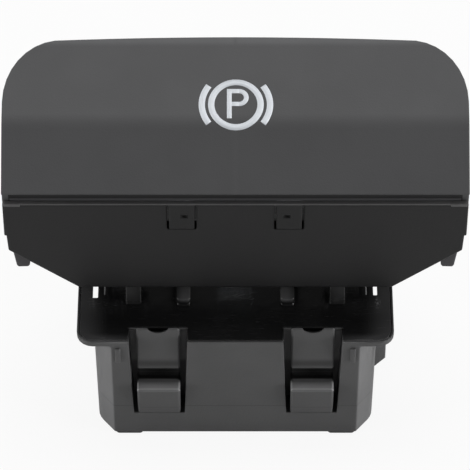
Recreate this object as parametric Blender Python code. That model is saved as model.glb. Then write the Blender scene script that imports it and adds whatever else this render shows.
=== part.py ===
"""Electric parking brake switch.

A wide pull paddle turns on two pins in a black top frame. The frame lies in the rim of a grey
snap-in housing that holds the circuit board, the sliding contact carriage and the connector.

Axes: +X to the right, +Y away from the person who looks at the paddle's front wall, +Z up.
The origin is on the ground plane, under the middle of the housing. All named sizes are in
millimetres, and meshes are written in metres.
"""

import math

import bmesh
import bpy
from mathutils import Matrix, Vector

MM = 0.001
GAP = 0.3
OVERLAP = 0.6
EDGE_TOLERANCE = 0.05
PASS = 1.0
ARC_STEPS = 5
ROUND_SIDES = 24

# Housing, the grey snap-in body
FOOT_HEIGHT = 0.4
FOOT_LENGTH = 3.9
FOOT_DEPTH = 2.6
HOUSING_TOP = 20.6
HOUSING_HALF_DEPTH = 15.75
HOUSING_HALF_WIDTH = 20.05
FACE_HALF_WIDTH = 17.5
CHAMFER_DEPTH = 3.0
CORNER_DEPTH = 5.2
SIDE_HALF_WIDTH = 18.2
FACE_EDGE = 0.4
CHAMFER_EDGE = 3.0
CORNER_EDGE = 0.3
DRAFT = 0.25
FOOT_INSET = 0.05
FOOT_CORNER = 0.5
FLOOR_THICKNESS = 1.2
FLOOR_TOP = 8.0
CORNER_WALL = 0.8
CAVITY_HALF_WIDTH = FACE_HALF_WIDTH - CORNER_WALL
CAVITY_HALF_DEPTH = 11.0
CAVITY_CORNER = 1.0
KEY_RIB_REACH = 21.65
KEY_RIB_THICKNESS = 1.3
KEY_RIB_FRONT = -8.1
KEY_RIB_BOTTOM = 6.35
KEY_RIB_SLANT_WIDTH = 1.45
KEY_RIB_SLANT = 1.85

# Flange around the housing's top, with a thin rim that the plate lies in
FLANGE_HALF_WIDTH = 22.35
FLANGE_STEP = 0.05
FLANGE_CORNER = 2.3
FLANGE_THICKNESS = 1.2
FLANGE_FLOOR = 0.4
FLANGE_CHAMFER = 0.4
RIM_WALL = 0.3
RIM_EDGE = 0.1

# Snap fingers in the front and rear walls
FINGER_FROM_CORNER = 6.58
FINGER_X = FACE_HALF_WIDTH - FINGER_FROM_CORNER
FINGER_WIDTH = 6.1
FINGER_TOP = 22.1
FINGER_LEAN = 1.1
FINGER_TIP_THICKNESS = 1.1
FINGER_CHAMFER = 0.25
FINGER_FACE_INSET = 0.45
HOOK_REACH = 1.3
HOOK_EDGE = 0.25
HOOK_SHELF = 11.5
HOOK_SHELF_RISE = 0.15
GROOVE_DEPTH = 1.7
GROOVE_HEIGHT = 2.55
GROOVE_DIP = 0.5
GROOVE_CORNER = 0.3
GROOVE_LIP = 0.6
NECK_THICKNESS = 0.8
RAMP_BOTTOM = 3.8
WINDOW_BOTTOM = 4.7
WINDOW_TOP_WIDTH = 8.4
WINDOW_BOTTOM_WIDTH = 7.3
WINDOW_DEPTH = 3.6
SCALLOP_RADIUS = 1.6
SCALLOP_DEPTH = 1.0

# Connector under the housing
SOCKET_HALF_WIDTH = 9.2
SOCKET_FRONT = -0.4
SOCKET_REAR = 9.2
SOCKET_WALL = 1.2
SOCKET_RIM = 0.15
SOCKET_CORNER = 1.0
PIN_COUNT = 6
PIN_PITCH = 2.54
PIN_SIZE = 0.64
PIN_Y = 7.0
PIN_BOTTOM = 1.8
PIN_RISE = 1.2
HEADER_HALF_WIDTH = 8.2
HEADER_DEPTH = 2.6
HEADER_HEIGHT = 2.2
HEADER_CORNER = 0.3

# Circuit board and what it carries
BOARD_THICKNESS = 1.6
BOARD_MARGIN = 0.4
BOARD_CORNER = 0.8
LED_WIDTH = 3.0
LED_DEPTH = 2.8
LED_Y = -2.4
LED_HEIGHT = 1.4
LED_LENS_RADIUS = 1.05
LED_LENS_HEIGHT = 0.5
RESISTOR_WIDTH = 2.0
RESISTOR_DEPTH = 1.2
RESISTOR_HEIGHT = 0.6
RESISTOR_X = 3.4
RESISTOR_Y = -7.6

# Top frame, the black plate with the hinge ears
FRAME_THICKNESS = 1.2
FRAME_EDGE = 0.15
NOTCH_DEPTH = 2.75
SLOT_INNER = 19.3
SLOT_WIDTH = 1.0
SLOT_HALF_LENGTH = 7.8
SLIT_X = 18.7
SLIT_WIDTH = 0.4
SLIT_HALF_LENGTH = 7.3
SLOT_END_ROUNDING = 0.12
WINDOW_HALF_WIDTH = 10.3
WINDOW_FRONT = -5.0
WINDOW_REAR = 2.4
WINDOW_CORNER = 0.8
SPIGOT_HEIGHT = 2.2
SPIGOT_WALL = 1.0
SPIGOT_CORNER = 0.5
LATCH_Y = 5.0
LATCH_WIDTH = 3.0
LATCH_LENGTH = 5.4
LATCH_NUB_REACH = 0.9
LATCH_NUB_HEIGHT = 1.4
RAIL_INNER = 11.1
RAIL_WIDTH = 2.1
RAIL_HALF_LENGTH = 9.3
STOP_RIB_X = 7.35
STOP_RIB_WIDTH = 1.9
STOP_RIB_FRONT = -8.8
STOP_RIB_REAR = -5.4
STOP_RIB_HEIGHT = 1.2
STOP_RIB_CORNER = 0.5
SEAT_STRIP_INNER = 20.5
SEAT_STRIP_WIDTH = 1.3
SEAT_STRIP_HALF_LENGTH = 12.5
SEAT_STRIP_HEIGHT = 0.35

# Hinge
PIVOT_Y = -4.2
PIVOT_Z = 25.2
PIN_RADIUS = 1.2
PIN_HEAD_RADIUS = 1.9
PIN_HEAD_LENGTH = 0.6
EAR_RADIUS = 3.0
EAR_INNER = 13.4
EAR_THICKNESS = 2.1
EAR_FOOT_FRONT = -8.8
EAR_FOOT_REAR = 0.6
LUG_THICKNESS = 1.6
LUG_RADIUS = 2.7

# Return springs on the pins
WIRE_RADIUS = 0.27
COIL_RADIUS = 1.95
COIL_TURNS = 2.25
COIL_STEPS = 16
WIRE_SIDES = 8
SPRING_LEG_UP = 5.6
SPRING_LEG_LENGTH = 4.6

# Paddle cap
CAP_HALF_WIDTH = 32.0
CAP_LIP_Y = -10.0
CAP_LIP_Z = 44.9
CAP_LOWER_LENGTH = 10.2
CAP_LOWER_ANGLE = 36.8
CAP_UPPER_LENGTH = 12.95
CAP_UPPER_ANGLE = 17.5
CREASE_RADIUS = 6.5
CAP_CORNER_WIDTH = 7.9
CAP_CORNER_LENGTH = 9.0
CAP_BOW = 0.45
CAP_WALL = 1.8
CAP_EDGE = 1.0
BAND_HEIGHT = 2.5
BAND_INSET = 1.0
BAND_DRAFT = 0.2
LIP_DROP = 0.5
RIM_DROP = 3.6
RIM_THICKNESS = 1.6
CAP_SIDE_BOTTOM = 35.8
GRIP_RADIUS = 10.3
GRIP_Z = 41.5
GRIP_WALL_Y = 1.7
GRIP_TOP_ANGLE = 108
GRIP_STEPS = 8
GRIP_CORNER = 0.5
TAB_X = 7.4
TAB_WIDTH = 3.5
TAB_LENGTH = 4.9
TAB_PROUD = 0.25
TAB_CORNER = 0.2

# Paddle carrier
CARRIER_FRONT = -9.3
CARRIER_WALL = 1.6
SKIRT_COVER = 0.2
SKIRT_STEP = 0.3
SKIRT_DRAFT = 0.15
SKIRT_NOSE_WIDTH = 0.6
SKIRT_NOSE_HEIGHT = 0.5
SKIRT_EDGE = 0.4
SKIRT_SLANT_WIDTH = 8.95
SKIRT_BOTTOM = 25.0
SKIRT_SIDE_BOTTOM = 32.3
SHELL_BOTTOM = 32.4
PEG_INSET = 0.9
PEG_WIDTH = 2.3
PEG_BOTTOM = 27.4
PEG_CORNER = 0.3
PEG_DEPTH = 3.0
PEG_TAPER = 0.5
PEG_ROOT = 2.0
STEM_X = 8.0
STEM_WIDTH = 2.2
STEM_THICKNESS = 2.2
STEM_Y = -0.5
STEM_TIP_Z = 13.4
STEM_TIP_RADIUS = 1.2
STEM_NECK_SHARE = 0.7

# Light guide under the symbol
GUIDE_HALF_WIDTH = 5.8
GUIDE_HEAD_FRONT = -3.6
GUIDE_HEAD_REAR = 4.6
GUIDE_HEAD_THICKNESS = 1.2
GUIDE_BODY_REAR = 0.8
GUIDE_BODY_Z = 46.4
GUIDE_NECK_Z = 41.0
GUIDE_NECK_FRONT = -4.1
GUIDE_NECK_REAR = -0.9
GUIDE_NECK_HALF_WIDTH = 3.2
GUIDE_TIP_FRONT = -4.0
GUIDE_TIP_REAR = -1.3
GUIDE_TIP_HALF_WIDTH = 2.0
GUIDE_TIP_EDGE = 0.3

# Sliding contact carriage
SLIDER_FRONT = -8.4
SLIDER_REAR = 4.6
SLIDER_THICKNESS = 2.9
TONGUE_REACH = 0.85
TONGUE_HEIGHT = 1.2
SLIDER_HOLE_HALF_WIDTH = 4.6
SLIDER_HOLE_FRONT = -6.6
SLIDER_HOLE_REAR = 1.2
SLIDER_HOLE_CORNER = 0.6
WIPER_WIDTH = 2.0
WIPER_THICKNESS = 0.3
WIPER_LENGTH = 7.4
WIPER_BEND = 1.2
WIPER_DIMPLE = 0.35

FLANGE_HALF_DEPTH = HOUSING_HALF_DEPTH + FLANGE_STEP
FLANGE_BOTTOM = HOUSING_TOP - FLANGE_THICKNESS
SEAT_TOP = FLANGE_BOTTOM + FLANGE_FLOOR
FRAME_TOP = HOUSING_TOP
FRAME_BOTTOM = FRAME_TOP - FRAME_THICKNESS
LID_BOTTOM = SEAT_TOP + GAP
BOARD_BOTTOM = FLOOR_TOP + GAP
BOARD_TOP = BOARD_BOTTOM + BOARD_THICKNESS
WIPER_BOTTOM = BOARD_TOP + GAP + WIPER_DIMPLE
SLIDER_BOTTOM = WIPER_BOTTOM + WIPER_THICKNESS + GAP
SLIDER_TOP = SLIDER_BOTTOM + SLIDER_THICKNESS
TONGUE_BOTTOM = SLIDER_BOTTOM + (SLIDER_THICKNESS - TONGUE_HEIGHT) / 2
COIL_PITCH = 2 * WIRE_RADIUS + GAP
COIL_SPAN = COIL_PITCH * COIL_TURNS
SPRING_ROOM = COIL_SPAN + 2 * WIRE_RADIUS
SPRING_INNER = EAR_INNER + EAR_THICKNESS + GAP
LUG_INNER = SPRING_INNER + SPRING_ROOM + GAP
CARRIER_HALF_WIDTH = CAP_HALF_WIDTH - CAP_WALL - GAP
SKIRT_BACK = CARRIER_FRONT + CARRIER_WALL
SKIRT_LOW_HALF_WIDTH = CAP_HALF_WIDTH - SKIRT_STEP
PEG_OUTER = CAP_HALF_WIDTH - PEG_INSET
PEG_INNER = PEG_OUTER - PEG_WIDTH
LATCH_NUB_BOTTOM = FRAME_BOTTOM - LATCH_LENGTH
SIDES = (("left", -1), ("right", 1))


def clear_scene():
    """Removes the objects that the scene starts with."""
    for obj in list(bpy.data.objects):
        bpy.data.objects.remove(obj, do_unlink=True)


def mirrored(outline, side):
    """The outline with its first coordinate multiplied by the side's sign."""
    return [(side * point[0], *point[1:]) for point in outline]


def rectangle(low_u, high_u, low_v, high_v, radius=0.0):
    """A rectangle's corners, each with its corner radius."""
    corners = [(low_u, low_v), (high_u, low_v), (high_u, high_v), (low_u, high_v)]
    return [(u, v, radius) for u, v in corners]


def rounded(outline, steps=ARC_STEPS):
    """Plane points of an outline whose corners (u, v, radius) become arcs."""
    points = []
    for index, corner in enumerate(outline):
        here = Vector(corner[:2])
        radius = corner[2] if len(corner) > 2 else 0.0
        if radius <= 0:
            points.append(here)
            continue
        before = (Vector(outline[index - 1][:2]) - here).normalized()
        after = (Vector(outline[(index + 1) % len(outline)][:2]) - here).normalized()
        half_angle = before.angle(after) / 2
        centre = here + (before + after).normalized() * radius / math.sin(half_angle)
        reach = radius / math.tan(half_angle)
        first = here + before * reach - centre
        turn = first.angle_signed(here + after * reach - centre)
        for step in range(steps + 1):
            angle = -turn * step / steps
            points.append(centre + Matrix.Rotation(angle, 2) @ first)
    return points


def arc(centre, radius, start, end, steps):
    """Points on a circle from one angle to another, in degrees."""
    points = []
    for step in range(steps + 1):
        angle = math.radians(start + (end - start) * step / steps)
        points.append((centre[0] + radius * math.cos(angle), centre[1] + radius * math.sin(angle)))
    return points


def place(u, v, w, axis):
    """A point in space, in metres, from plane coordinates and a position along the axis."""
    if axis == "X":
        return Vector((w, u, v)) * MM
    if axis == "Y":
        return Vector((u, w, v)) * MM
    return Vector((u, v, w)) * MM


def new_object(name, mesh_builder):
    """An object in the scene whose mesh the builder fills."""
    mesh = bpy.data.meshes.new(name)
    builder = bmesh.new()
    mesh_builder(builder)
    bmesh.ops.recalc_face_normals(builder, faces=builder.faces)
    builder.to_mesh(mesh)
    builder.free()
    obj = bpy.data.objects.new(name, mesh)
    bpy.context.scene.collection.objects.link(obj)
    return obj


def loft(name, sections, axis):
    """A closed solid through outlines with as many points, each at its place on the axis."""

    def build(builder):
        rings = []
        for outline, along in sections:
            rings.append([builder.verts.new(place(point[0], point[1], along, axis)) for point in outline])
        builder.faces.new(rings[0])
        builder.faces.new(rings[-1])
        count = len(rings[0])
        for near, far in zip(rings, rings[1:]):
            for index in range(count):
                after = (index + 1) % count
                builder.faces.new((near[index], near[after], far[after], far[index]))

    return new_object(name, build)


def prism(name, outline, axis, start, end):
    """A closed solid with the same outline all along the axis. Corners may carry a radius."""
    points = rounded(outline)
    return loft(name, [(points, start), (points, end)], axis)


def block(name, x_range, y_range, z_range, radius=0.0):
    """A block between three ranges, with its upright edges rounded."""
    return prism(name, rectangle(*x_range, *y_range, radius), "Z", *z_range)


def circle(centre, radius):
    """Points all round a circle."""
    return arc(centre, radius, 0, 360 - 360 / ROUND_SIDES, ROUND_SIDES - 1)


def bar(name, y, z, radius, start, end):
    """A round bar along X."""
    return prism(name, circle((y, z), radius), "X", start, end)


def wire(name, path, radius):
    """A round wire along the points of a path, with closed ends."""

    def build(builder):
        rings = []
        side = (path[1] - path[0]).orthogonal()
        for index, point in enumerate(path):
            along = (path[min(index + 1, len(path) - 1)] - path[max(index - 1, 0)]).normalized()
            side = (side - along * side.dot(along)).normalized()
            other = along.cross(side)
            ring = []
            for u, v in arc((0.0, 0.0), radius, 0, 360 - 360 / WIRE_SIDES, WIRE_SIDES - 1):
                ring.append(builder.verts.new((point + side * u + other * v) * MM))
            rings.append(ring)
        for near, far in zip(rings, rings[1:]):
            for index in range(WIRE_SIDES):
                after = (index + 1) % WIRE_SIDES
                builder.faces.new((near[index], near[after], far[after]))
                builder.faces.new((near[index], far[after], far[index]))
        builder.faces.new(rings[0])
        builder.faces.new(rings[-1])

    return new_object(name, build)


def combine(target, tool, operation):
    """Adds a Boolean of the tool to the target, and hides the tool."""
    modifier = target.modifiers.new(tool.name, "BOOLEAN")
    modifier.operation = operation
    modifier.solver = "EXACT"
    modifier.object = tool
    tool.hide_render = True
    tool.display_type = "WIRE"


def cut(target, *tools):
    """Takes the tools out of the target."""
    for tool in tools:
        combine(target, tool, "DIFFERENCE")


def join(target, *tools):
    """Makes the tools part of the target."""
    for tool in tools:
        combine(target, tool, "UNION")


def bevel(target, width, segments=2, angle=35.0):
    """Rounds the target's edges that are sharper than the angle."""
    modifier = target.modifiers.new("edges", "BEVEL")
    modifier.width = width * MM
    modifier.segments = segments
    modifier.limit_method = "ANGLE"
    modifier.angle_limit = math.radians(angle)
    modifier.use_clamp_overlap = True


def finish(obj, colour, roughness, metallic=0.0, transmission=0.0):
    """Gives the object its own material and smooth shading up to its real edges."""
    material = bpy.data.materials.new(obj.name)
    material.use_nodes = True
    shader = material.node_tree.nodes["Principled BSDF"]
    shader.inputs["Base Color"].default_value = (*colour, 1.0)
    shader.inputs["Roughness"].default_value = roughness
    shader.inputs["Metallic"].default_value = metallic
    shader.inputs["Transmission Weight"].default_value = transmission
    obj.data.materials.append(material)
    if obj.type == "MESH":
        obj.data.shade_smooth()
        obj.data.set_sharp_from_angle(angle=math.radians(30))
    return obj


def carry(parent, *children):
    """Puts each child's origin on its parent's, and parents it there."""
    for child in children:
        child.data.transform(Matrix.Translation(-parent.location))
        child.parent = parent


def finger_profile():
    """Depth and height of a front snap finger, rooted at the bottom and free at the top."""
    face = -HOUSING_HALF_DEPTH + FINGER_FACE_INSET
    groove = face + GROOVE_DEPTH
    back = groove + NECK_THICKNESS
    root = WINDOW_BOTTOM - 2 * OVERLAP
    tip = face + FINGER_LEAN
    lip = HOOK_SHELF + GROOVE_HEIGHT
    return [
        (face + OVERLAP, root),
        (face, RAMP_BOTTOM),
        (-HOUSING_HALF_DEPTH - HOOK_REACH, HOOK_SHELF, HOOK_EDGE),
        (face, HOOK_SHELF + HOOK_SHELF_RISE),
        (groove, HOOK_SHELF - GROOVE_DIP, GROOVE_CORNER),
        (groove, lip - GROOVE_DIP, GROOVE_CORNER),
        (face, lip, GROOVE_LIP),
        (tip, FINGER_TOP),
        (tip + FINGER_TIP_THICKNESS, FINGER_TOP),
        (back, HOOK_SHELF),
        (back, WINDOW_BOTTOM),
        (back + OVERLAP, root),
    ]


def snap_finger(name, x, side):
    """One snap finger, on the front wall for side 1 and on the rear wall for side -1."""
    profile = mirrored(finger_profile(), side)
    finger = prism(name, profile, "X", x - FINGER_WIDTH / 2, x + FINGER_WIDTH / 2)
    bevel(finger, FINGER_CHAMFER, segments=1, angle=60)
    centre = (x, FINGER_TOP + SCALLOP_RADIUS - SCALLOP_DEPTH)
    outer = -side * (HOUSING_HALF_DEPTH + PASS)
    inner = -side * (HOUSING_HALF_DEPTH - WINDOW_DEPTH - PASS)
    cut(finger, prism(f"{name}_scallop", circle(centre, SCALLOP_RADIUS), "Y", *sorted((outer, inner))))
    return finger


def finger_window(name, x, side):
    """The pocket that a snap finger stands in, open to the outside and at the top."""
    top = [x - WINDOW_TOP_WIDTH / 2, x + WINDOW_TOP_WIDTH / 2]
    bottom = [x - WINDOW_BOTTOM_WIDTH / 2, x + WINDOW_BOTTOM_WIDTH / 2]
    outline = [
        (bottom[0], WINDOW_BOTTOM),
        (bottom[1], WINDOW_BOTTOM),
        (top[1], HOUSING_TOP + PASS),
        (top[0], HOUSING_TOP + PASS),
    ]
    outer = -side * (HOUSING_HALF_DEPTH + PASS)
    inner = -side * (HOUSING_HALF_DEPTH - WINDOW_DEPTH)
    return prism(name, outline, "Y", *sorted((outer, inner)))


def housing_outline(inset):
    """The housing's outline from above: flat faces, slanted corners and narrower sides."""
    face = FACE_HALF_WIDTH - inset / 2
    corner = HOUSING_HALF_WIDTH - inset
    depth = HOUSING_HALF_DEPTH - inset
    slant = depth - CHAMFER_DEPTH
    recess = HOUSING_HALF_DEPTH - CORNER_DEPTH
    quarter = [
        (face, -depth, FACE_EDGE),
        (corner, -slant, CHAMFER_EDGE),
        (corner, -recess, CORNER_EDGE),
        (SIDE_HALF_WIDTH, -recess, CORNER_EDGE),
    ]
    right = quarter + [(x, -y, radius) for x, y, radius in reversed(quarter)]
    left = [(-x, y, radius) for x, y, radius in reversed(right)]
    return rounded(right + left, 3)


def make_housing():
    """The grey lower body with its flange, snap fingers, feet, key rib and connector shroud."""
    body = [(housing_outline(DRAFT), FOOT_HEIGHT), (housing_outline(0.0), SEAT_TOP + FLANGE_FLOOR)]
    housing = loft("housing", body, "Z")
    join(housing, flange())
    recess = block(
        "flange_recess",
        (RIM_WALL - FLANGE_HALF_WIDTH, FLANGE_HALF_WIDTH - RIM_WALL),
        (RIM_WALL - FLANGE_HALF_DEPTH, FLANGE_HALF_DEPTH - RIM_WALL),
        (SEAT_TOP, HOUSING_TOP + PASS),
        FLANGE_CORNER - RIM_WALL,
    )
    cut(housing, recess)
    cavity = block(
        "housing_cavity",
        (-CAVITY_HALF_WIDTH, CAVITY_HALF_WIDTH),
        (-CAVITY_HALF_DEPTH, CAVITY_HALF_DEPTH),
        (FLOOR_TOP, HOUSING_TOP + PASS),
        CAVITY_CORNER,
    )
    cut(housing, cavity)
    rim = block(
        "connector_rim",
        (-SOCKET_HALF_WIDTH - SOCKET_WALL, SOCKET_HALF_WIDTH + SOCKET_WALL),
        (SOCKET_FRONT - SOCKET_WALL, SOCKET_REAR + SOCKET_WALL),
        (SOCKET_RIM, FOOT_HEIGHT + OVERLAP),
        SOCKET_CORNER + SOCKET_WALL,
    )
    join(housing, rim)
    socket = block(
        "connector_socket",
        (-SOCKET_HALF_WIDTH, SOCKET_HALF_WIDTH),
        (SOCKET_FRONT, SOCKET_REAR),
        (-PASS, FLOOR_TOP - FLOOR_THICKNESS),
        SOCKET_CORNER,
    )
    cut(housing, socket)
    for wall, front in (("front", 1), ("rear", -1)):
        for name, side in SIDES:
            label = f"{wall}_{name}"
            cut(housing, finger_window(f"window_{label}", side * FINGER_X, front))
            join(housing, snap_finger(f"finger_{label}", side * FINGER_X, front))
            join(housing, corner_foot(f"foot_{label}", side, front))
            cut(housing, latch_window(f"latch_window_{label}", side, front))
    for name, side in SIDES:
        cut(housing, flange_slot(f"flange_slot_{name}", side))
        join(housing, seat_strip(f"seat_strip_{name}", side))
    join(housing, key_rib())
    for index in range(PIN_COUNT):
        cut(housing, pin_hole("floor_hole", index, FLOOR_TOP - FLOOR_THICKNESS - PASS, FLOOR_TOP + PASS))
    return finish(housing, (0.075, 0.076, 0.078), 0.5)


def flange():
    """The plate around the housing's top, chamfered below."""
    sections = []
    levels = (
        (FLANGE_CHAMFER, FLANGE_BOTTOM),
        (0.0, FLANGE_BOTTOM + FLANGE_CHAMFER),
        (0.0, HOUSING_TOP - RIM_EDGE),
        (RIM_EDGE, HOUSING_TOP),
    )
    for inset, z in levels:
        x = FLANGE_HALF_WIDTH - inset
        y = FLANGE_HALF_DEPTH - inset
        sections.append((rounded(rectangle(-x, x, -y, y, FLANGE_CORNER - inset)), z))
    return loft("flange", sections, "Z")


def flange_slot(name, side):
    """The opening in the flange under the plate's slot and slit."""
    x_range = sorted((side * (SLIT_X - SLIT_WIDTH / 2), side * (SLOT_INNER + SLOT_WIDTH)))
    y_range = (-SLOT_HALF_LENGTH, SLOT_HALF_LENGTH)
    return block(name, x_range, y_range, (FLANGE_BOTTOM - PASS, SEAT_TOP + PASS))


def seat_strip(name, side):
    """A strip under the flange that rests on the panel. The right one clears the key rib."""
    x_range = sorted((side * SEAT_STRIP_INNER, side * (SEAT_STRIP_INNER + SEAT_STRIP_WIDTH)))
    near = KEY_RIB_FRONT + KEY_RIB_THICKNESS + GAP if side > 0 else -SEAT_STRIP_HALF_LENGTH
    z_range = (FLANGE_BOTTOM - SEAT_STRIP_HEIGHT, FLANGE_BOTTOM + FLANGE_FLOOR / 2)
    return block(name, x_range, (near, SEAT_STRIP_HALF_LENGTH), z_range)


def corner_foot(name, side, front):
    """A low pad under one corner of the housing."""
    outer = FACE_HALF_WIDTH - DRAFT
    x_range = sorted((side * outer, side * (outer - FOOT_LENGTH)))
    edge = HOUSING_HALF_DEPTH - DRAFT - FOOT_INSET
    y_range = sorted((-front * edge, -front * (edge - FOOT_DEPTH)))
    return block(name, x_range, y_range, (0.0, FOOT_HEIGHT + OVERLAP), FOOT_CORNER)


def latch_window(name, side, front):
    """The window in a side wall that a latch of the top frame snaps into."""
    x_range = sorted((side * (CAVITY_HALF_WIDTH - PASS), side * (SIDE_HALF_WIDTH + PASS)))
    half = LATCH_WIDTH / 2 + GAP
    y_range = (-front * LATCH_Y - half, -front * LATCH_Y + half)
    z_range = (LATCH_NUB_BOTTOM - GAP, LATCH_NUB_BOTTOM + LATCH_NUB_HEIGHT + GAP)
    return block(name, x_range, y_range, z_range)


def key_rib():
    """The rib on the right side that lets the housing into its panel one way round."""
    top = FLANGE_BOTTOM + FLANGE_FLOOR / 2
    outline = [
        (SIDE_HALF_WIDTH - OVERLAP, KEY_RIB_BOTTOM),
        (KEY_RIB_REACH - KEY_RIB_SLANT_WIDTH, KEY_RIB_BOTTOM),
        (KEY_RIB_REACH, KEY_RIB_BOTTOM + KEY_RIB_SLANT),
        (KEY_RIB_REACH, top),
        (SIDE_HALF_WIDTH - OVERLAP, top),
    ]
    return prism("key_rib", outline, "Y", KEY_RIB_FRONT, KEY_RIB_FRONT + KEY_RIB_THICKNESS)


def pin_x(index):
    """Where a connector pin stands along the row."""
    return (index - (PIN_COUNT - 1) / 2) * PIN_PITCH


def pin_hole(name, index, bottom, top):
    """The clearance hole of one connector pin."""
    half = PIN_SIZE / 2 + GAP
    x = pin_x(index)
    return block(f"{name}_{index + 1}", (x - half, x + half), (PIN_Y - half, PIN_Y + half), (bottom, top))


def make_frame():
    """The black top plate with finger notches, slots, hinge ears and carriage rails."""
    top = FRAME_TOP
    bottom = FRAME_BOTTOM
    margin = RIM_WALL + GAP
    half_x = FLANGE_HALF_WIDTH - margin
    half_y = FLANGE_HALF_DEPTH - margin
    corner = FLANGE_CORNER - margin
    frame = block("top_frame", (-half_x, half_x), (-half_y, half_y), (LID_BOTTOM, top), corner)
    bevel(frame, FRAME_EDGE)
    spigot_x = CAVITY_HALF_WIDTH - GAP
    spigot_y = CAVITY_HALF_DEPTH - GAP
    spigot = block(
        "spigot",
        (-spigot_x, spigot_x),
        (-spigot_y, spigot_y),
        (bottom - SPIGOT_HEIGHT, (LID_BOTTOM + top) / 2),
        CAVITY_CORNER - GAP,
    )
    inner_x = spigot_x - SPIGOT_WALL
    inner_y = spigot_y - SPIGOT_WALL
    hollow = block(
        "spigot_hollow",
        (-inner_x, inner_x),
        (-inner_y, inner_y),
        (bottom - SPIGOT_HEIGHT - PASS, bottom),
        SPIGOT_CORNER,
    )
    join(frame, spigot)
    cut(frame, hollow)
    opening = block(
        "frame_window",
        (-WINDOW_HALF_WIDTH, WINDOW_HALF_WIDTH),
        (WINDOW_FRONT, WINDOW_REAR),
        (bottom - PASS, top + PASS),
        WINDOW_CORNER,
    )
    cut(frame, opening)
    for name, side in SIDES:
        for front in (1, -1):
            cut(frame, frame_notch(f"notch_{name}_{front}", side, front))
            join(frame, latch(f"latch_{name}_{front}", side, front))
        cut(frame, frame_slot(f"slot_{name}", side, SLOT_INNER + SLOT_WIDTH / 2, SLOT_WIDTH, SLOT_HALF_LENGTH))
        cut(frame, frame_slot(f"slit_{name}", side, SLIT_X, SLIT_WIDTH, SLIT_HALF_LENGTH))
        join(frame, hinge_ear(f"ear_{name}", side), stop_rib(f"stop_rib_{name}", side))
        join(frame, carriage_rail(f"rail_{name}", side))
        cut(frame, pivot_hole(f"ear_hole_{name}", side, EAR_INNER, EAR_THICKNESS))
    return finish(frame, (0.012, 0.012, 0.013), 0.22)


def frame_notch(name, side, front):
    """The notch in the plate's edge that a snap finger passes through."""
    half = WINDOW_TOP_WIDTH / 2
    x_range = sorted((side * (FINGER_X - half), side * (FINGER_X + half)))
    outer = -front * (HOUSING_HALF_DEPTH + PASS)
    inner = -front * (HOUSING_HALF_DEPTH - NOTCH_DEPTH)
    return block(name, x_range, sorted((outer, inner)), (LID_BOTTOM - PASS, FRAME_TOP + PASS))


def latch(name, side, front):
    """A tongue under the plate whose nub snaps into a window of the housing's side wall."""
    outer = CAVITY_HALF_WIDTH - GAP
    root = FRAME_BOTTOM + OVERLAP
    outline = [
        (outer - SPIGOT_WALL, LATCH_NUB_BOTTOM),
        (outer, LATCH_NUB_BOTTOM),
        (outer + LATCH_NUB_REACH, LATCH_NUB_BOTTOM + LATCH_NUB_HEIGHT - EDGE_TOLERANCE),
        (outer + LATCH_NUB_REACH, LATCH_NUB_BOTTOM + LATCH_NUB_HEIGHT),
        (outer, LATCH_NUB_BOTTOM + LATCH_NUB_HEIGHT),
        (outer, root),
        (outer - SPIGOT_WALL, root),
    ]
    middle = -front * LATCH_Y
    return prism(name, mirrored(outline, side), "Y", middle - LATCH_WIDTH / 2, middle + LATCH_WIDTH / 2)


def frame_slot(name, side, x, width, half_length):
    """A long slot through the plate, outside the housing's side wall."""
    x_range = sorted((side * (x - width / 2), side * (x + width / 2)))
    z_range = (LID_BOTTOM - PASS, FRAME_TOP + PASS)
    return block(name, x_range, (-half_length, half_length), z_range, width * SLOT_END_ROUNDING)


def hinge_ear(name, side):
    """An upright of the frame with a round head around the pivot."""
    foot = FRAME_TOP - OVERLAP
    head = arc((PIVOT_Y, PIVOT_Z), EAR_RADIUS, -20, 200, 16)
    outline = [(EAR_FOOT_FRONT, foot), (EAR_FOOT_REAR, foot), *head]
    ends = sorted((side * EAR_INNER, side * (EAR_INNER + EAR_THICKNESS)))
    return prism(name, outline, "X", *ends)


def stop_rib(name, side):
    """A low rib on the plate under the paddle's front wall."""
    x_range = sorted((side * (STOP_RIB_X - STOP_RIB_WIDTH / 2), side * (STOP_RIB_X + STOP_RIB_WIDTH / 2)))
    y_range = (STOP_RIB_FRONT, STOP_RIB_REAR)
    z_range = (FRAME_TOP - OVERLAP, FRAME_TOP + STOP_RIB_HEIGHT)
    return block(name, x_range, y_range, z_range, STOP_RIB_CORNER)


def carriage_rail(name, side):
    """A rail under the plate whose groove guides the contact carriage's tongue."""
    inner = RAIL_INNER
    outer = RAIL_INNER + RAIL_WIDTH
    groove = RAIL_INNER + TONGUE_REACH
    outline = [
        (inner, SLIDER_BOTTOM),
        (outer, SLIDER_BOTTOM),
        (outer, FRAME_BOTTOM + OVERLAP),
        (inner, FRAME_BOTTOM + OVERLAP),
        (inner, TONGUE_BOTTOM + TONGUE_HEIGHT + GAP),
        (groove, TONGUE_BOTTOM + TONGUE_HEIGHT + GAP),
        (groove, TONGUE_BOTTOM - GAP),
        (inner, TONGUE_BOTTOM - GAP),
    ]
    return prism(name, mirrored(outline, side), "Y", -RAIL_HALF_LENGTH, RAIL_HALF_LENGTH)


def pivot_hole(name, side, inner, thickness):
    """The pin's running hole through an ear or a lug."""
    ends = sorted((side * (inner - PASS), side * (inner + thickness + PASS)))
    return bar(name, PIVOT_Y, PIVOT_Z, PIN_RADIUS + GAP, *ends)


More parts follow.
